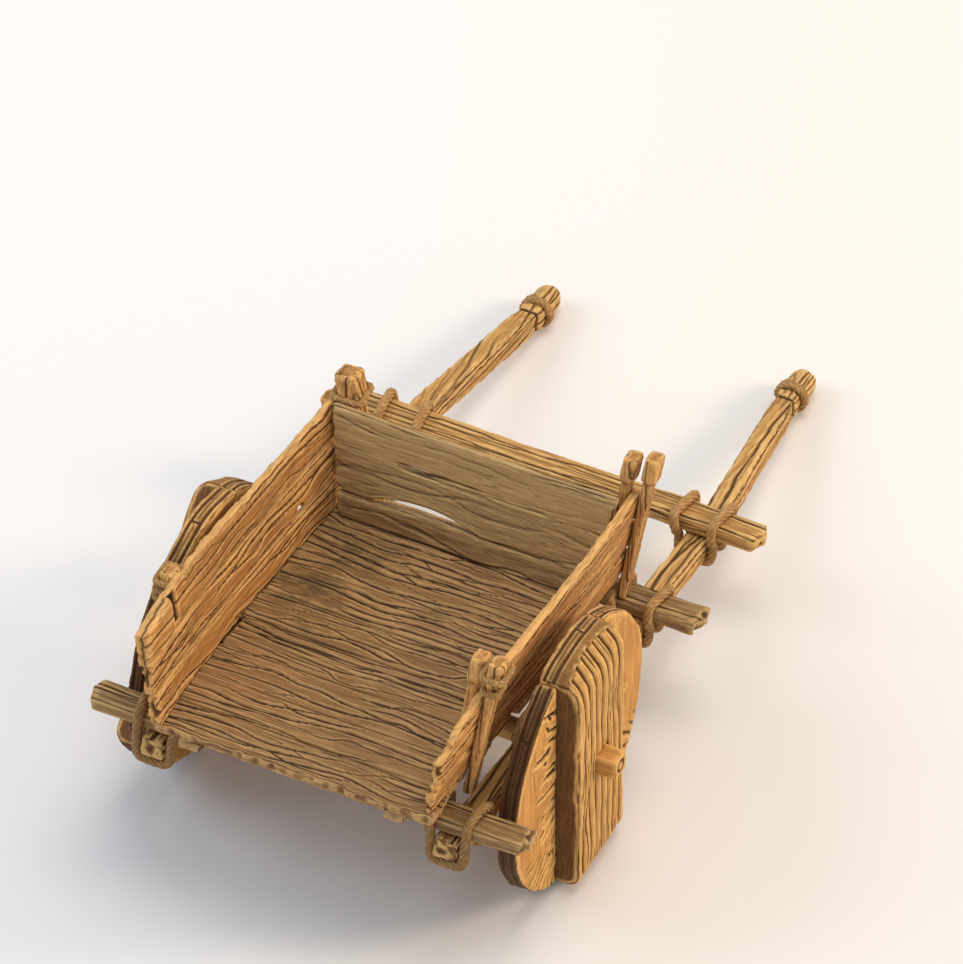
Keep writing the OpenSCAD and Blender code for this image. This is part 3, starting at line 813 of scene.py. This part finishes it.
@dataclass
class Walls(SubAssembly):
    """The side walls' planks, and the stakes that clasp them."""

    voxel: float = 0.25
    grain: Grain = Grain(pitch=1.4, stretch=16.0, wander=1.0, depth=0.34, half=0.22)
    stake_grain: Grain = Grain(pitch=0.8, stretch=9.0, wander=0.3, depth=0.12, half=0.12)
    slot_middle: float = -18.7
    slot_width: float = 2.0
    seam_middle: float = 13.8
    tops: dict[str, Array] = field(default_factory=dict)

    def build(self) -> None:
        """Makes both walls."""
        for s, side in enumerate(("left", "right")):
            for i, level in enumerate(("lower", "middle", "upper")):
                board = self.plank(f"{side}_wall_{level}", Axis.LENGTH, self.voxel, 10 * s + i)
                board.wear_edges(0.22)
                board.hollow(0.12, 5.0)
                board.cut_grain(self.grain, edges=0.25)
                # painted highlight on the plank's upward-facing edges
                board.paint_top_highlight(0.4)
                if level == "upper":
                    self.break_top(board, 0.7 if side == "left" else 0.4)
                if (side, level) == ("left", "upper"):
                    self.cut_slot(board)
                if (side, level) == ("left", "middle"):
                    self.open_seam(board)
                board.ragged(0, 0.3 if (side, level) == ("left", "upper") else 1.1, 0.3, 1.3)
                board.finish(f"{side}_wall_{level}_board", "cart", "side_wood", 0.05 * (i - 1) + 0.06 * s)
        stakes = [n for n in frame["nodes"] if n.endswith("_stake")]
        for i, node in enumerate(sorted(stakes)):
            stake = self.plank(node, Axis.UPRIGHT, self.voxel - 0.02, 40 + i)
            self.neck(stake)
            stake.wear_edges(0.12)
            stake.cut_grain(self.stake_grain)
            stake.finish(f"{node}_post", "cart", "side_wood", 0.12)
            self.tops[node] = stake.place

    def break_top(self, board: Carving, loss: float) -> None:
        """Splinters a plank's top edge."""
        top = board.place[:, 2].max()
        length = board.board[:, 0]
        cells = np.stack([length / 2.6, length * 0 + 0.5, length * 0 + 0.5], 1)
        bite = np.clip(noise(cells, board.seed + 50) + 0.2, 0, 1) * loss
        bite = bite * smooth_step(self.slot_middle - 2.0, self.slot_middle + 3.0, board.place[:, 0])
        near = smooth_step(3.2, 0.4, top - board.place[:, 2])
        board.place[:, 2] -= near * bite

    def open_seam(self, board: Carving) -> None:
        """Opens the seam under a plank over a short length."""
        length = 1 - smooth_step(0.5, 1.3, np.abs(board.place[:, 0] - self.seam_middle))
        height = board.place[:, 2] - board.place[:, 2].min()
        board.place[:, 2] += length * smooth_step(2.2, 0.2, height) * 1.0

    def cut_slot(self, board: Carving) -> None:
        """Breaks an upright slot through the plank near its rear end, paints its inside dark as painted shade, and
        lifts the chunk behind it.
        """
        chunk = smooth_step(self.slot_middle - 1.0, self.slot_middle - 1.4, board.place[:, 0])
        board.sink(-0.7 * chunk * smooth_step(0.3, 0.8, -board.normal[:, 1]))
        board.tone += 0.15 * chunk
        across = np.abs(board.place[:, 0] - self.slot_middle) / (self.slot_width / 2)
        height = board.place[:, 2] - board.place[:, 2].min()
        inside = (1 - smooth_step(0.8, 1.15, across)) * smooth_step(0.4, 0.9, height)
        face = np.clip(-board.normal[:, 1], 0, 1)
        board.sink(inside * 1.1 * face)
        # painted shade: the slot's inside is marked as a cut, so it takes the dark colour
        board.cut = np.maximum(board.cut, inside * face)

    def neck(self, stake: Carving) -> None:
        """Flares a stake's head."""
        high = stake.place.max(0)
        drop = high[2] - stake.place[:, 2]
        stake.sink(-0.4 * smooth_step(3.8, 3.3, drop) * smooth_step(0.9, 0.7, np.abs(stake.normal[:, 2])))
        stake.place[:, 2] = np.minimum(stake.place[:, 2], high[2] - 0.1)


@dataclass(frozen=True)
class Seam:
    """Where a plank's edge draws back from its neighbour, in mm.

    Args:
        middle: the middle of the open stretch.
        half: half its length.
        open: how far the edge draws back there.
        close: how far it grows toward its neighbour elsewhere.
    """

    middle: float
    half: float
    open: float
    close: float

    def shift(self, across: Array) -> Array:
        """How far the edge grows at each place along it."""
        lens = np.clip(1 - ((across - self.middle) / self.half) ** 2, 0, 1)
        return self.close * (1 - lens) - self.open * lens


SEAMS: dict[tuple[str, str], Seam] = {
    ("lower", "top"): Seam(5.5, 7.5, -0.85, 0.3),
    ("middle", "foot"): Seam(5.5, 7.5, 1.2, 0.35),
    ("middle", "top"): Seam(6.5, 4.0, -0.1, 0.4),
    ("upper", "foot"): Seam(6.5, 4.0, 0.0, 0.3),
}


@dataclass
class Headboard(SubAssembly):
    """The three planks across the front of the bed."""

    voxel: float = 0.25
    grain: Grain = Grain(pitch=1.15, stretch=13.0, wander=0.9, depth=0.42, half=0.24)

    def build(self) -> None:
        """Makes each plank."""
        for i, level in enumerate(("lower", "middle", "upper")):
            board = self.plank(f"headboard_{level}", Axis.ACROSS, self.voxel, i)
            board.wear_edges(0.2)
            board.hollow(0.12, 4.0)
            board.cut_grain(self.grain, edges=0.3)
            # painted highlight on the plank's upward-facing edges
            board.paint_top_highlight(0.6)
            board.ragged(1, 0.3, 0.3, 1.2)
            self.open_seam(board, level)
            # the planks are painted lighter from the lowest to the highest
            board.finish(f"headboard_{level}_board", "cart", "frame_wood", 0.2 * i + 0.1)

    def open_seam(self, board: Carving, level: str) -> None:
        """Splits a plank's seams open toward the left and closes them elsewhere."""
        height = board.place[:, 2]
        top, foot = height.max() - height, height - height.min()
        for (plank, edge), seam in SEAMS.items():
            if plank == level:
                near, way = (top, 1) if edge == "top" else (foot, -1)
                board.place[:, 2] += way * seam.shift(board.place[:, 1]) * smooth_step(3.4, 0.4, near)


@dataclass
class Undercarriage(SubAssembly):
    """Shafts, crossbeams, bearers and the blocks that hold the axle."""

    voxel: float = 0.28
    shaft_grain: Grain = Grain(pitch=0.95, stretch=24.0, wander=0.5, depth=0.26, half=0.17)
    beam_grain: Grain = Grain(pitch=0.95, stretch=20.0, wander=0.4, depth=0.28, half=0.17)

    def build(self) -> None:
        """Makes every timber under the bed."""
        for i, side in enumerate(("left", "right")):
            shaft = self.plank(f"{side}_shaft", Axis.LENGTH, self.voxel, i)
            self.carve_tip(shaft, side)
            shaft.wear_edges(0.25)
            shaft.hollow(0.2, 6.0)
            shaft.cut_grain(self.shaft_grain)
            shaft.ragged(0, 0.3, 0.0, 1.3)
            # painted shade: the shaft is painted darker over the last 6 mm toward its rear end, under the bed
            shaft.tone -= 0.6 * smooth_step(6.0, 0.0, shaft.place[:, 0] - shaft.place[:, 0].min())
            shaft.finish(f"{side}_shaft_pole", "cart", "shaft_wood", 0.04)
        beams = {"rear_crossbeam": "frame_wood", "middle_crossbeam": "frame_wood",
                 "front_crossbar": "shaft_wood"}
        for i, (node, slot) in enumerate(beams.items()):
            beam = self.plank(node, Axis.ACROSS, self.voxel, 5 + i)
            beam.wear_edges(0.25)
            beam.hollow(0.15, 5.0)
            beam.cut_grain(self.beam_grain)
            beam.ragged(1, 0.9, 0.7, 1.2, 1.8)
            beam.finish(f"{node}_timber", "cart", slot, 0.1)
        for i, side in enumerate(("left", "right")):
            for j, part in enumerate(("bearer", "axle_block")):
                block = self.plank(f"{side}_{part}", Axis.LENGTH, self.voxel + 0.04, 12 + 2 * i + j)
                block.wear_edges(0.3)
                block.cut_grain(self.beam_grain)
                block.finish(f"{side}_{part}_timber", "cart", "frame_wood", -0.1)

    def carve_tip(self, shaft: Carving, side: str) -> None:
        """Leaves a raised band at the squared end and rounds the knob beyond it."""
        end = self.box(f"{side}_tip_collar")[0][0]
        ahead = shaft.place[:, 0]
        core = shaft.place[ahead > end][:, 1:].mean(0)
        squared = float(ahead[np.hypot(*(shaft.place[:, 1:] - core).T) > 1.95].max())
        waist = smooth_step(squared - 4.5, squared - 1.9, ahead)
        waist = waist * smooth_step(squared - 1.3, squared - 1.6, ahead)
        shaft.sink(0.25 * waist)
        line = (ahead - (squared - 1.5)) / 0.25
        shaft.cut_lines(line, 0.2, 0.8 * smooth_step(0.7, 0.4, shaft.facing[:, 0]))
        last = float(ahead.max())
        dome = np.clip((ahead - (last - 1.7)) / 1.7, 0, 1)
        middle = shaft.place[ahead > last - 0.5][:, 1:].mean(0)
        shrink = np.sqrt(1 - 0.75 * dome**2)[:, None]
        shaft.place[:, 1:] = middle + (shaft.place[:, 1:] - middle) * np.where(dome[:, None] > 0, shrink, 1)


@dataclass
class Wheels(SubAssembly):
    """The two board wheels and their axle.

    Args:
        board_lean: lean of the right wheel's centre board from upright, in degrees.
        left_turn: turn of the left wheel's centre board from the right one's.
        grooves: spacing of the grooves along a centre board, in mm.
        rim_lines: places of the two lines round the tread, as shares of its width.
    """

    board_lean: float = 2.0
    left_turn: float = 45.0
    voxel: float = 0.26
    grooves: float = 1.62
    rim_lines: tuple[float, float] = (0.3, 0.72)
    rim_cuts: int = 7

    def build(self) -> None:
        """Makes both wheels and the axle."""
        upright = Frame(self.chassis.origin, np.eye(3))
        for s, side in enumerate(("left", "right")):
            turn = self.board_lean + (self.left_turn if side == "left" else 0.0)
            axes = upright.turned(turn, mirror=side == "right")
            rim = self.rim(side, axes)
            self.centre_board(side, axes, rim, 10 * s)
            for i, part in enumerate(("front", "rear")):
                self.side_board(side, part, axes, rim, 10 * s + 3 + i)
        axle = self.plank("axle", Axis.ACROSS, self.voxel, 30)
        axle.wear_edges(0.2)
        self.ring_end(axle)
        axle.finish("axle_bar", "wheelset", "wheel_wood", 0.0)

    def rim(self, side: str, axes: Frame) -> tuple[float, float, float]:
        """A wheel's radius, and its side boards' inner and outer faces, in mm."""
        flat = np.zeros(len(frame["nodes"][f"{side}_wheel_front_board"].data.vertices) * 3)
        frame["nodes"][f"{side}_wheel_front_board"].data.vertices.foreach_get("co", flat)
        local = axes.local(flat.reshape(-1, 3))
        radius = float(np.hypot(local[:, 0], local[:, 2]).max())
        return radius, float(local[:, 1].min()), float(local[:, 1].max())

    def start(self, node: str, axes: Frame, seed: int) -> Carving:
        """Starts the carving of a wheel's board, with its grain upright."""
        return Carving(node, axes, Axis.UPRIGHT, self.voxel, self.seed * 100 + seed)

    def tread(self, board: Carving, rim: tuple[float, float, float]) -> None:
        """Cuts the lines round the rim and the few cuts across them, and paints the tread darker as painted shade,
        most where it faces the rear.
        """
        radius, inner, outer = rim
        x, y, z = board.place.T
        reach = np.hypot(x, z)
        outward = (x * board.normal[:, 0] + z * board.normal[:, 2]) / np.maximum(reach, 1e-6)
        on_rim = smooth_step(0.5, 0.8, outward) * (reach > radius - 1.5)
        around = np.arctan2(z, x)
        wave = 0.12 * noise(np.stack([np.cos(around) * 4, np.sin(around) * 4, around * 0 + 0.5], 1), board.seed)
        # painted shade: the tread is painted darker all round and most where it faces the rear, and its
        # dry-brushed ridges and darkened creases are damped there
        rear_shade = smooth_step(0.1, 0.8, -board.normal @ board.axes.axes[:, 0])
        board.tone -= on_rim * (0.5 + 0.9 * rear_shade)
        board.painted_shade_dull = on_rim * (0.5 + 0.4 * rear_shade)
        for share in self.rim_lines:
            line = (y - inner - (outer - inner) * share + wave) / 0.24
            board.cut_lines(line, 0.24, on_rim * 0.8)
        turns = around / (2 * math.pi) * self.rim_cuts
        cell = np.floor(turns)
        middle = cell + 0.2 + 0.6 * lattice_hash(np.stack([cell, cell * 0, cell * 0], 1), board.seed)
        cross = (turns - middle) * 2 * math.pi * radius / self.rim_cuts / 0.2
        share = (y - inner) / (outer - inner)
        between = smooth_step(self.rim_lines[0] - 0.05, self.rim_lines[0], share)
        between = between * smooth_step(self.rim_lines[1] + 0.05, self.rim_lines[1], share)
        board.cut_lines(cross, 0.2, on_rim * 0.7 * between)

    def centre_board(self, side: str, axes: Frame, rim: tuple[float, float, float], seed: int) -> None:
        """Carves the thick board: straight grooves up its face and over its head."""
        board = self.start(f"{side}_wheel_centre_board", axes, seed)
        board.wear_edges(0.35)
        across, out, up = board.place.T
        bend = 0.35 * noise(np.stack([up / 9.0, across / 3.0, out * 0 + 0.5], 1), board.seed)
        phase = across / self.grooves + bend
        fade = noise(np.stack([up / 7.0, across / 2.2, out * 0 + 0.4], 1), board.seed + 3)
        outer_face = smooth_step(0.2, 0.5, board.normal[:, 1]) * (1 - smooth_step(5.4, 5.8, np.abs(across)))
        strength = outer_face * (0.75 + 0.25 * fade)
        board.cut_family(0, np.stack([phase, 0.17 + 0.04 * fade, strength], 1), 0.55)
        thin = phase + 0.5 + 0.3 * noise(np.stack([up / 6.0, across / 2.0, out * 0 + 0.7], 1), board.seed + 4)
        thin_strength = outer_face * smooth_step(0.0, 0.5, -fade)
        board.cut_family(1, np.stack([thin, np.full_like(fade, 0.07), thin_strength], 1), 0.15)
        # the board's narrow side faces are painted darker: partly dark paint on the model, partly painted shade
        board.tone -= 0.72 * smooth_step(0.6, 0.85, board.facing[:, 1])
        board.hollow(0.12, 3.0)
        self.tread(board, rim)
        board.finish(f"{side}_wheel_centre", "wheelset", "wheel_wood", 0.0)

    def side_board(self, side: str, part: str, axes: Frame, rim: tuple[float, float, float], seed: int) -> None:
        """Carves a side board: lumpy, with nicks that point at the hub."""
        board = self.start(f"{side}_wheel_{part}_board", axes, seed)
        board.wear_edges(0.25)
        board.hollow(0.2, 2.6)
        face = smooth_step(0.5, 0.8, board.normal[:, 1])
        edge = float(np.abs(board.place[:, 0]).min())
        around = np.arctan2(board.place[:, 2], board.place[:, 0])
        splinters = around * rim[0] / 1.5 + 0.6 * noise(board.place / (3.0, 3.0, 3.0), board.seed + 8)
        fade = smooth_step(-0.3, 0.3, noise(board.place / (2.5, 2.5, 2.5), board.seed + 9))
        low = smooth_step(-5.5, -9.5, board.place[:, 2]) * (0.4 + 0.6 * fade) * face
        board.cut_family(0, np.stack([splinters, 0.1 + 0.05 * fade, low], 1), 0.4)
        board.nick(self.nicks(1 if part == "front" else -1, edge, rim[0], board.seed), 0, 2, face)
        self.tread(board, rim)
        board.finish(f"{side}_wheel_{part}_half", "wheelset", "wheel_wood", 0.05)

    def nicks(self, way: int, edge: float, radius: float, seed: int) -> list[Nick]:
        """Nicks beside the centre board that grow longer toward the foot.

        Args:
            way: 1 on the front board, -1 on the rear one.
            edge: distance of the board's straight edge from the hub.
            radius: the wheel's radius.
            seed: chooses their lengths.
        Returns:
            The nicks.
        """
        made = []
        rows = np.arange(-0.93, 0.8, 0.11) * radius
        picks = lattice_hash(np.stack([np.arange(len(rows)), rows * 0, rows * 0], 1), seed)
        for row, pick in zip(rows, picks):
            low = max(0.0, -row) / radius
            height = row + 1.6 * (pick - 0.5)
            start = np.array([way * (edge + 0.1 + 1.8 * (pick > 0.8)), height])
            ray = start / np.hypot(*start)
            slope = np.array([ray[0] + 0.35 * way * (1 - low), ray[1] * (0.4 + 0.8 * low)])
            end = start + slope / np.hypot(*slope) * (2.6 + 2.2 * pick + 3.0 * low**2)
            if np.hypot(*end) < radius - 0.4:
                made.append(Nick(tuple(start), tuple(end), 0.34 + 0.3 * pick, 0.7))
            inner = start + ray * (2.8 + 2.5 * pick)
            outer = inner + ray * (1.0 + 1.4 * pick)
            if pick < 0.55 and np.hypot(*outer) < radius - 0.8:
                made.append(Nick(tuple(inner), tuple(outer), 0.3, 0.35))
        return made

    def ring_end(self, axle: Carving) -> None:
        """Cuts a ring in the end grain of each peg."""
        end = smooth_step(0.6, 0.9, np.abs(axle.normal[:, 1]))
        reach = np.hypot(axle.place[:, 0], axle.place[:, 2])
        axle.cut_lines((reach - 0.75) / 0.3, 0.3, end * 0.9)


@dataclass
class Lashings(SubAssembly):
    """The ropes at each crossing of beam and shaft, and round the stakes and shaft tips.

    Args:
        tops: the carved points of each stake.
        rope_radius: radius of the laid rope in mm.
        slant: how far a turn leans across its beam.
        loose: how far the rear turns arch over their beam.
    """

    tops: dict[str, Array] = field(default_factory=dict)
    rope_radius: float = 0.62
    slant: float = 0.55
    loose: float = 0.7

    def build(self) -> None:
        """Lays every rope."""
        walk = RopeWalk(6, 0.24, 0.4, 5.5)
        cord = RopeWalk(4, 0.2, 0.24, 3.0)
        beams = {"front": "front_crossbar", "middle": "middle_crossbeam", "rear": "rear_crossbeam"}
        for side, way in (("left", 1), ("right", -1)):
            for place, beam in beams.items():
                self.crossing(walk, side, way, place, beam)
            self.tip(cord, side)
        self.binding(cord, "left_front_inner_stake", 3.0, 1, 0.3)
        self.binding(cord, "right_rear_outer_stake", 1.7, 1, 0.3)
        self.binding(cord, "right_rear_outer_stake", 4.2, 1, 0.2)
        self.binding(cord, "left_rear_outer_stake", 0.9, 3, 0.3)

    def crossing(self, walk: RopeWalk, side: str, way: int, place: str, beam: str) -> None:
        """Lays a square lashing: over the beam on both sides of the shaft, under the shaft before and behind.

        Args:
            walk: the rope walk.
            side: the cart's side.
            way: 1 on the left side, -1 on the right.
            place: the lashing's place along the cart.
            beam: the CAD node of the beam.
        """
        node = f"{side}_{place}_lashing"
        low, high = self.box(node)
        (back, _, under), (ahead, _, over) = self.box(beam)
        r = self.rope_radius
        outer = (high[1] if way > 0 else low[1]) - way * r
        inner = outer - way * (3.4 + 2 * r)
        foot = low[2] + r
        tuck = 0.0 if place == "rear" else 1.0
        back, ahead, over = back - r + 0.1, ahead + r - 0.1, over + r - 0.1
        arch = self.loose if place == "rear" else 0.1
        lean = self.slant * way
        middle = (back + ahead) / 2
        corners = [
            (back, outer, under), (back, outer, over - 0.4), (back + 0.5, outer, over),
            (middle, outer + lean / 2, over + arch), (ahead - 0.5, outer + lean, over),
            (ahead, outer + lean, over - 0.4), (ahead, outer, under), (ahead - tuck, outer, under - r),
            (ahead - tuck, outer - way * 0.1, foot + 0.6), (ahead - tuck, outer - way * 0.7, foot),
            (ahead - tuck, inner + way * 0.7, foot), (ahead - tuck, inner + way * 0.1, foot + 0.6),
            (ahead - tuck, inner, under - r), (ahead, inner, under), (ahead, inner, over - 0.4),
            (ahead - 0.5, inner, over), (middle, inner - lean / 2, over + 0.1),
            (back + 0.5, inner - lean, over),
            (back, inner - lean, over - 0.4), (back, inner, under), (back + tuck, inner, under - r),
            (back + tuck, inner + way * 0.1, foot + 0.6), (back + tuck, inner + way * 0.7, foot),
            (back + tuck, outer - way * 0.7, foot), (back + tuck, outer - way * 0.1, foot + 0.6),
            (back + tuck, outer, under - r),
        ]
        tone = -0.5 if place == "rear" else -0.15
        walk.lay_along([(self.chassis.world(rounded(np.array(corners))), True)], f"{node}_rope", (node,), tone)

    def tip(self, walk: RopeWalk, side: str) -> None:
        """Lays the binding round a shaft's neck."""
        node = f"{side}_tip_collar"
        low, high = self.box(node)
        middle = (low + high) / 2
        radius = (high[1] - low[1]) / 2 - 0.35
        turns = np.linspace(0, 2 * math.pi * 2.2, 56)
        x = middle[0] - 0.45 + 0.9 * turns / turns[-1]
        ring = np.stack([x, middle[1] + radius * np.cos(turns), middle[2] + radius * np.sin(turns)], 1)
        walk.lay_along([(self.chassis.world(ring), False)], f"{node}_rope", (node,))

    def binding(self, walk: RopeWalk, node: str, drop: float, rounds: int, tilt: float) -> None:
        """Winds a rope round a stake.

        Args:
            walk: the rope walk.
            node: the stake's CAD node.
            drop: how far below the stake's top it starts, in mm.
            rounds: how many turns it makes.
            tilt: how far each turn leans.
        """
        place = self.tops[node]
        height = place[:, 2].max() - drop
        ring = place[np.abs(place[:, 2] - height) < 0.5]
        middle, half = (ring.max(0) + ring.min(0)) / 2, (ring.max(0) - ring.min(0)) / 2 + 0.25
        loop = rounded_loop(half[0], half[1], 0.5)
        paths = []
        for turn in range(rounds):
            z = height - turn * 1.15 + tilt * loop[:, 0] / half[0]
            points = np.stack([middle[0] + loop[:, 0], middle[1] + loop[:, 1], z], 1)
            paths.append((self.chassis.world(points), True))
        walk.lay_along(paths, f"{node}_binding_{int(drop * 10)}")


# ---------------------------------------------------------------- studio


@dataclass(frozen=True)
class Lamp:
    """A soft square lamp: where it is from the cart in metres, its side, power and colour."""

    name: str
    place: tuple[float, float, float]
    side: float
    watts: float
    colour: Colour

    def build(self, target: Vector) -> None:
        """Puts the lamp in the scene, turned to the cart."""
        data = bpy.data.lights.new(self.name, "AREA")
        data.shape = "SQUARE"
        data.size, data.energy, data.color = self.side, self.watts, self.colour
        lamp = bpy.data.objects.new(self.name, data)
        lamp.location = target + Vector(self.place)
        lamp.rotation_euler = (target - lamp.location).to_track_quat("-Z", "Y").to_euler()
        bpy.context.scene.collection.objects.link(lamp)


@dataclass
class Studio:
    """Pale floor, soft lamps and the camera.

    Args:
        azimuth: where the camera looks, in degrees from the cart's forward axis toward its left.
        elevation: how far the camera looks down.
        roll: the camera's roll.
        distance: from the camera to the point it aims at, in metres.
        lens: focal length in mm on a 36 mm wide sensor.
        aim: the point it aims at, from the axle, in mm.
        sky: the world's colour.
        sky_strength: the world's strength.
        floor_half: half the floor's side, in metres.
        floor_cool: the floor's colour on one side of the cart.
        floor_painted_warm_light: its colour on the other side, warmer as painted warm light.
        painted_warmth_way: the way in which it turns from one to the other.
        painted_warmth_reach: half the length over which it turns, in metres.
    """

    azimuth: float = 26.676
    elevation: float = 45.978
    roll: float = 1.178
    distance: float = 1.66926
    lens: float = 514.0
    aim: tuple[float, float, float] = (26.935, 0.0, 9.904)
    sky: Colour = (0.82, 0.91, 1.0)
    sky_strength: float = 0.6
    floor_half: float = 6.0
    floor_cool: Colour = (0.84, 0.80, 0.78)
    floor_painted_warm_light: Colour = (0.86, 0.79, 0.72)
    painted_warmth_way: tuple[float, float, float] = (0.436, -0.9, 0.0)
    painted_warmth_reach: float = 0.05

    def build(self, chassis: Frame) -> None:
        """Makes the camera, lamps, world and floor."""
        target = Vector(chassis.origin) + Vector(self.aim) * MM
        self.camera(target)
        lamps = (
            Lamp("top", (0.3, -0.25, 2.3), 1.3, 20.5, (1.0, 0.975, 0.93)),
            Lamp("warm_side", (0.95, -1.9, 1.0), 0.6, 27.0, (1.0, 0.8, 0.56)),
            Lamp("fill", (-0.6, 1.6, 1.3), 1.2, 15.0, (0.80, 0.90, 1.0)),
        )
        for lamp in lamps:
            lamp.build(target)
        self.world()
        self.floor()

    def camera(self, target: Vector) -> None:
        """Aims the camera."""
        a, e = math.radians(self.azimuth), math.radians(self.elevation)
        ahead = Vector((math.cos(a) * math.cos(e), math.sin(a) * math.cos(e), -math.sin(e)))
        data = bpy.data.cameras.new("camera")
        data.lens, data.sensor_width = self.lens, 36.0
        data.clip_start, data.clip_end = 0.1, 20.0
        camera = bpy.data.objects.new("camera", data)
        camera.location = target - ahead * self.distance
        turn = ahead.to_track_quat("-Z", "Y").to_matrix() @ Matrix.Rotation(math.radians(-self.roll), 3, "Z")
        camera.rotation_euler = turn.to_euler()
        bpy.context.scene.collection.objects.link(camera)
        bpy.context.scene.camera = camera

    def world(self) -> None:
        """A plain pale sky that also shows in glossy and clear surfaces."""
        world = bpy.data.worlds.new("studio")
        world.use_nodes = True
        n = Nodes(world.node_tree)
        n.tree.nodes["Background"].inputs["Color"].default_value = (*self.sky, 1.0)
        n.tree.nodes["Background"].inputs["Strength"].default_value = self.sky_strength
        bpy.context.scene.world = world
        bpy.context.scene.view_settings.view_transform = "Standard"

    def floor(self) -> None:
        """A wide matt floor under the wheels, painted warmer toward one side as painted warm light."""
        mesh = bpy.data.meshes.new("floor")
        half = self.floor_half
        rim = [(-half, -half, 0), (half, -half, 0), (half, half, 0), (-half, half, 0)]
        mesh.from_pydata(rim, [], [(0, 1, 2, 3)])
        paint = bpy.data.materials.new("floor")
        paint.use_nodes = True
        shader = paint.node_tree.nodes["Principled BSDF"]
        n = Nodes(paint.node_tree)
        place = n.add("ShaderNodeTexCoord").outputs["Object"]
        across = n.add("ShaderNodeVectorMath", {0: place, 1: self.painted_warmth_way}, operation="DOT_PRODUCT")
        # painted warm light: the floor's colour turns warmer toward one side of the cart
        painted_warm_light = n.span(across.outputs["Value"], -self.painted_warmth_reach, self.painted_warmth_reach, 0.0, 1.0)
        tint = n.mix(painted_warm_light, self.floor_cool, self.floor_painted_warm_light)
        n.tree.links.new(tint, shader.inputs["Base Color"])
        shader.inputs["Roughness"].default_value = 0.9
        shader.inputs["Specular IOR Level"].default_value = 0.1
        mesh.materials.append(paint)
        floor = bpy.data.objects.new("floor", mesh)
        bpy.context.scene.collection.objects.link(floor)


def corners(box: object) -> list:
    """A pair of corners as plain lists of numbers."""
    return [[round(float(v), 6) for v in corner] for corner in box]


def main() -> None:
    """Builds the cart's looks and the studio."""
    logging.basicConfig(level=logging.INFO, format="%(name)s: %(message)s")
    chassis = chassis_frame()
    Studio().build(chassis)
    walls = Walls(chassis, 2)
    for part in (Bed(chassis, 1), walls, Headboard(chassis, 3), Undercarriage(chassis, 4),
                 Wheels(chassis, 5), Lashings(chassis, 6, walls.tops)):
        part.build()
        LOG.info("%s is done", type(part).__name__)


if __name__ == "__main__":
    main()
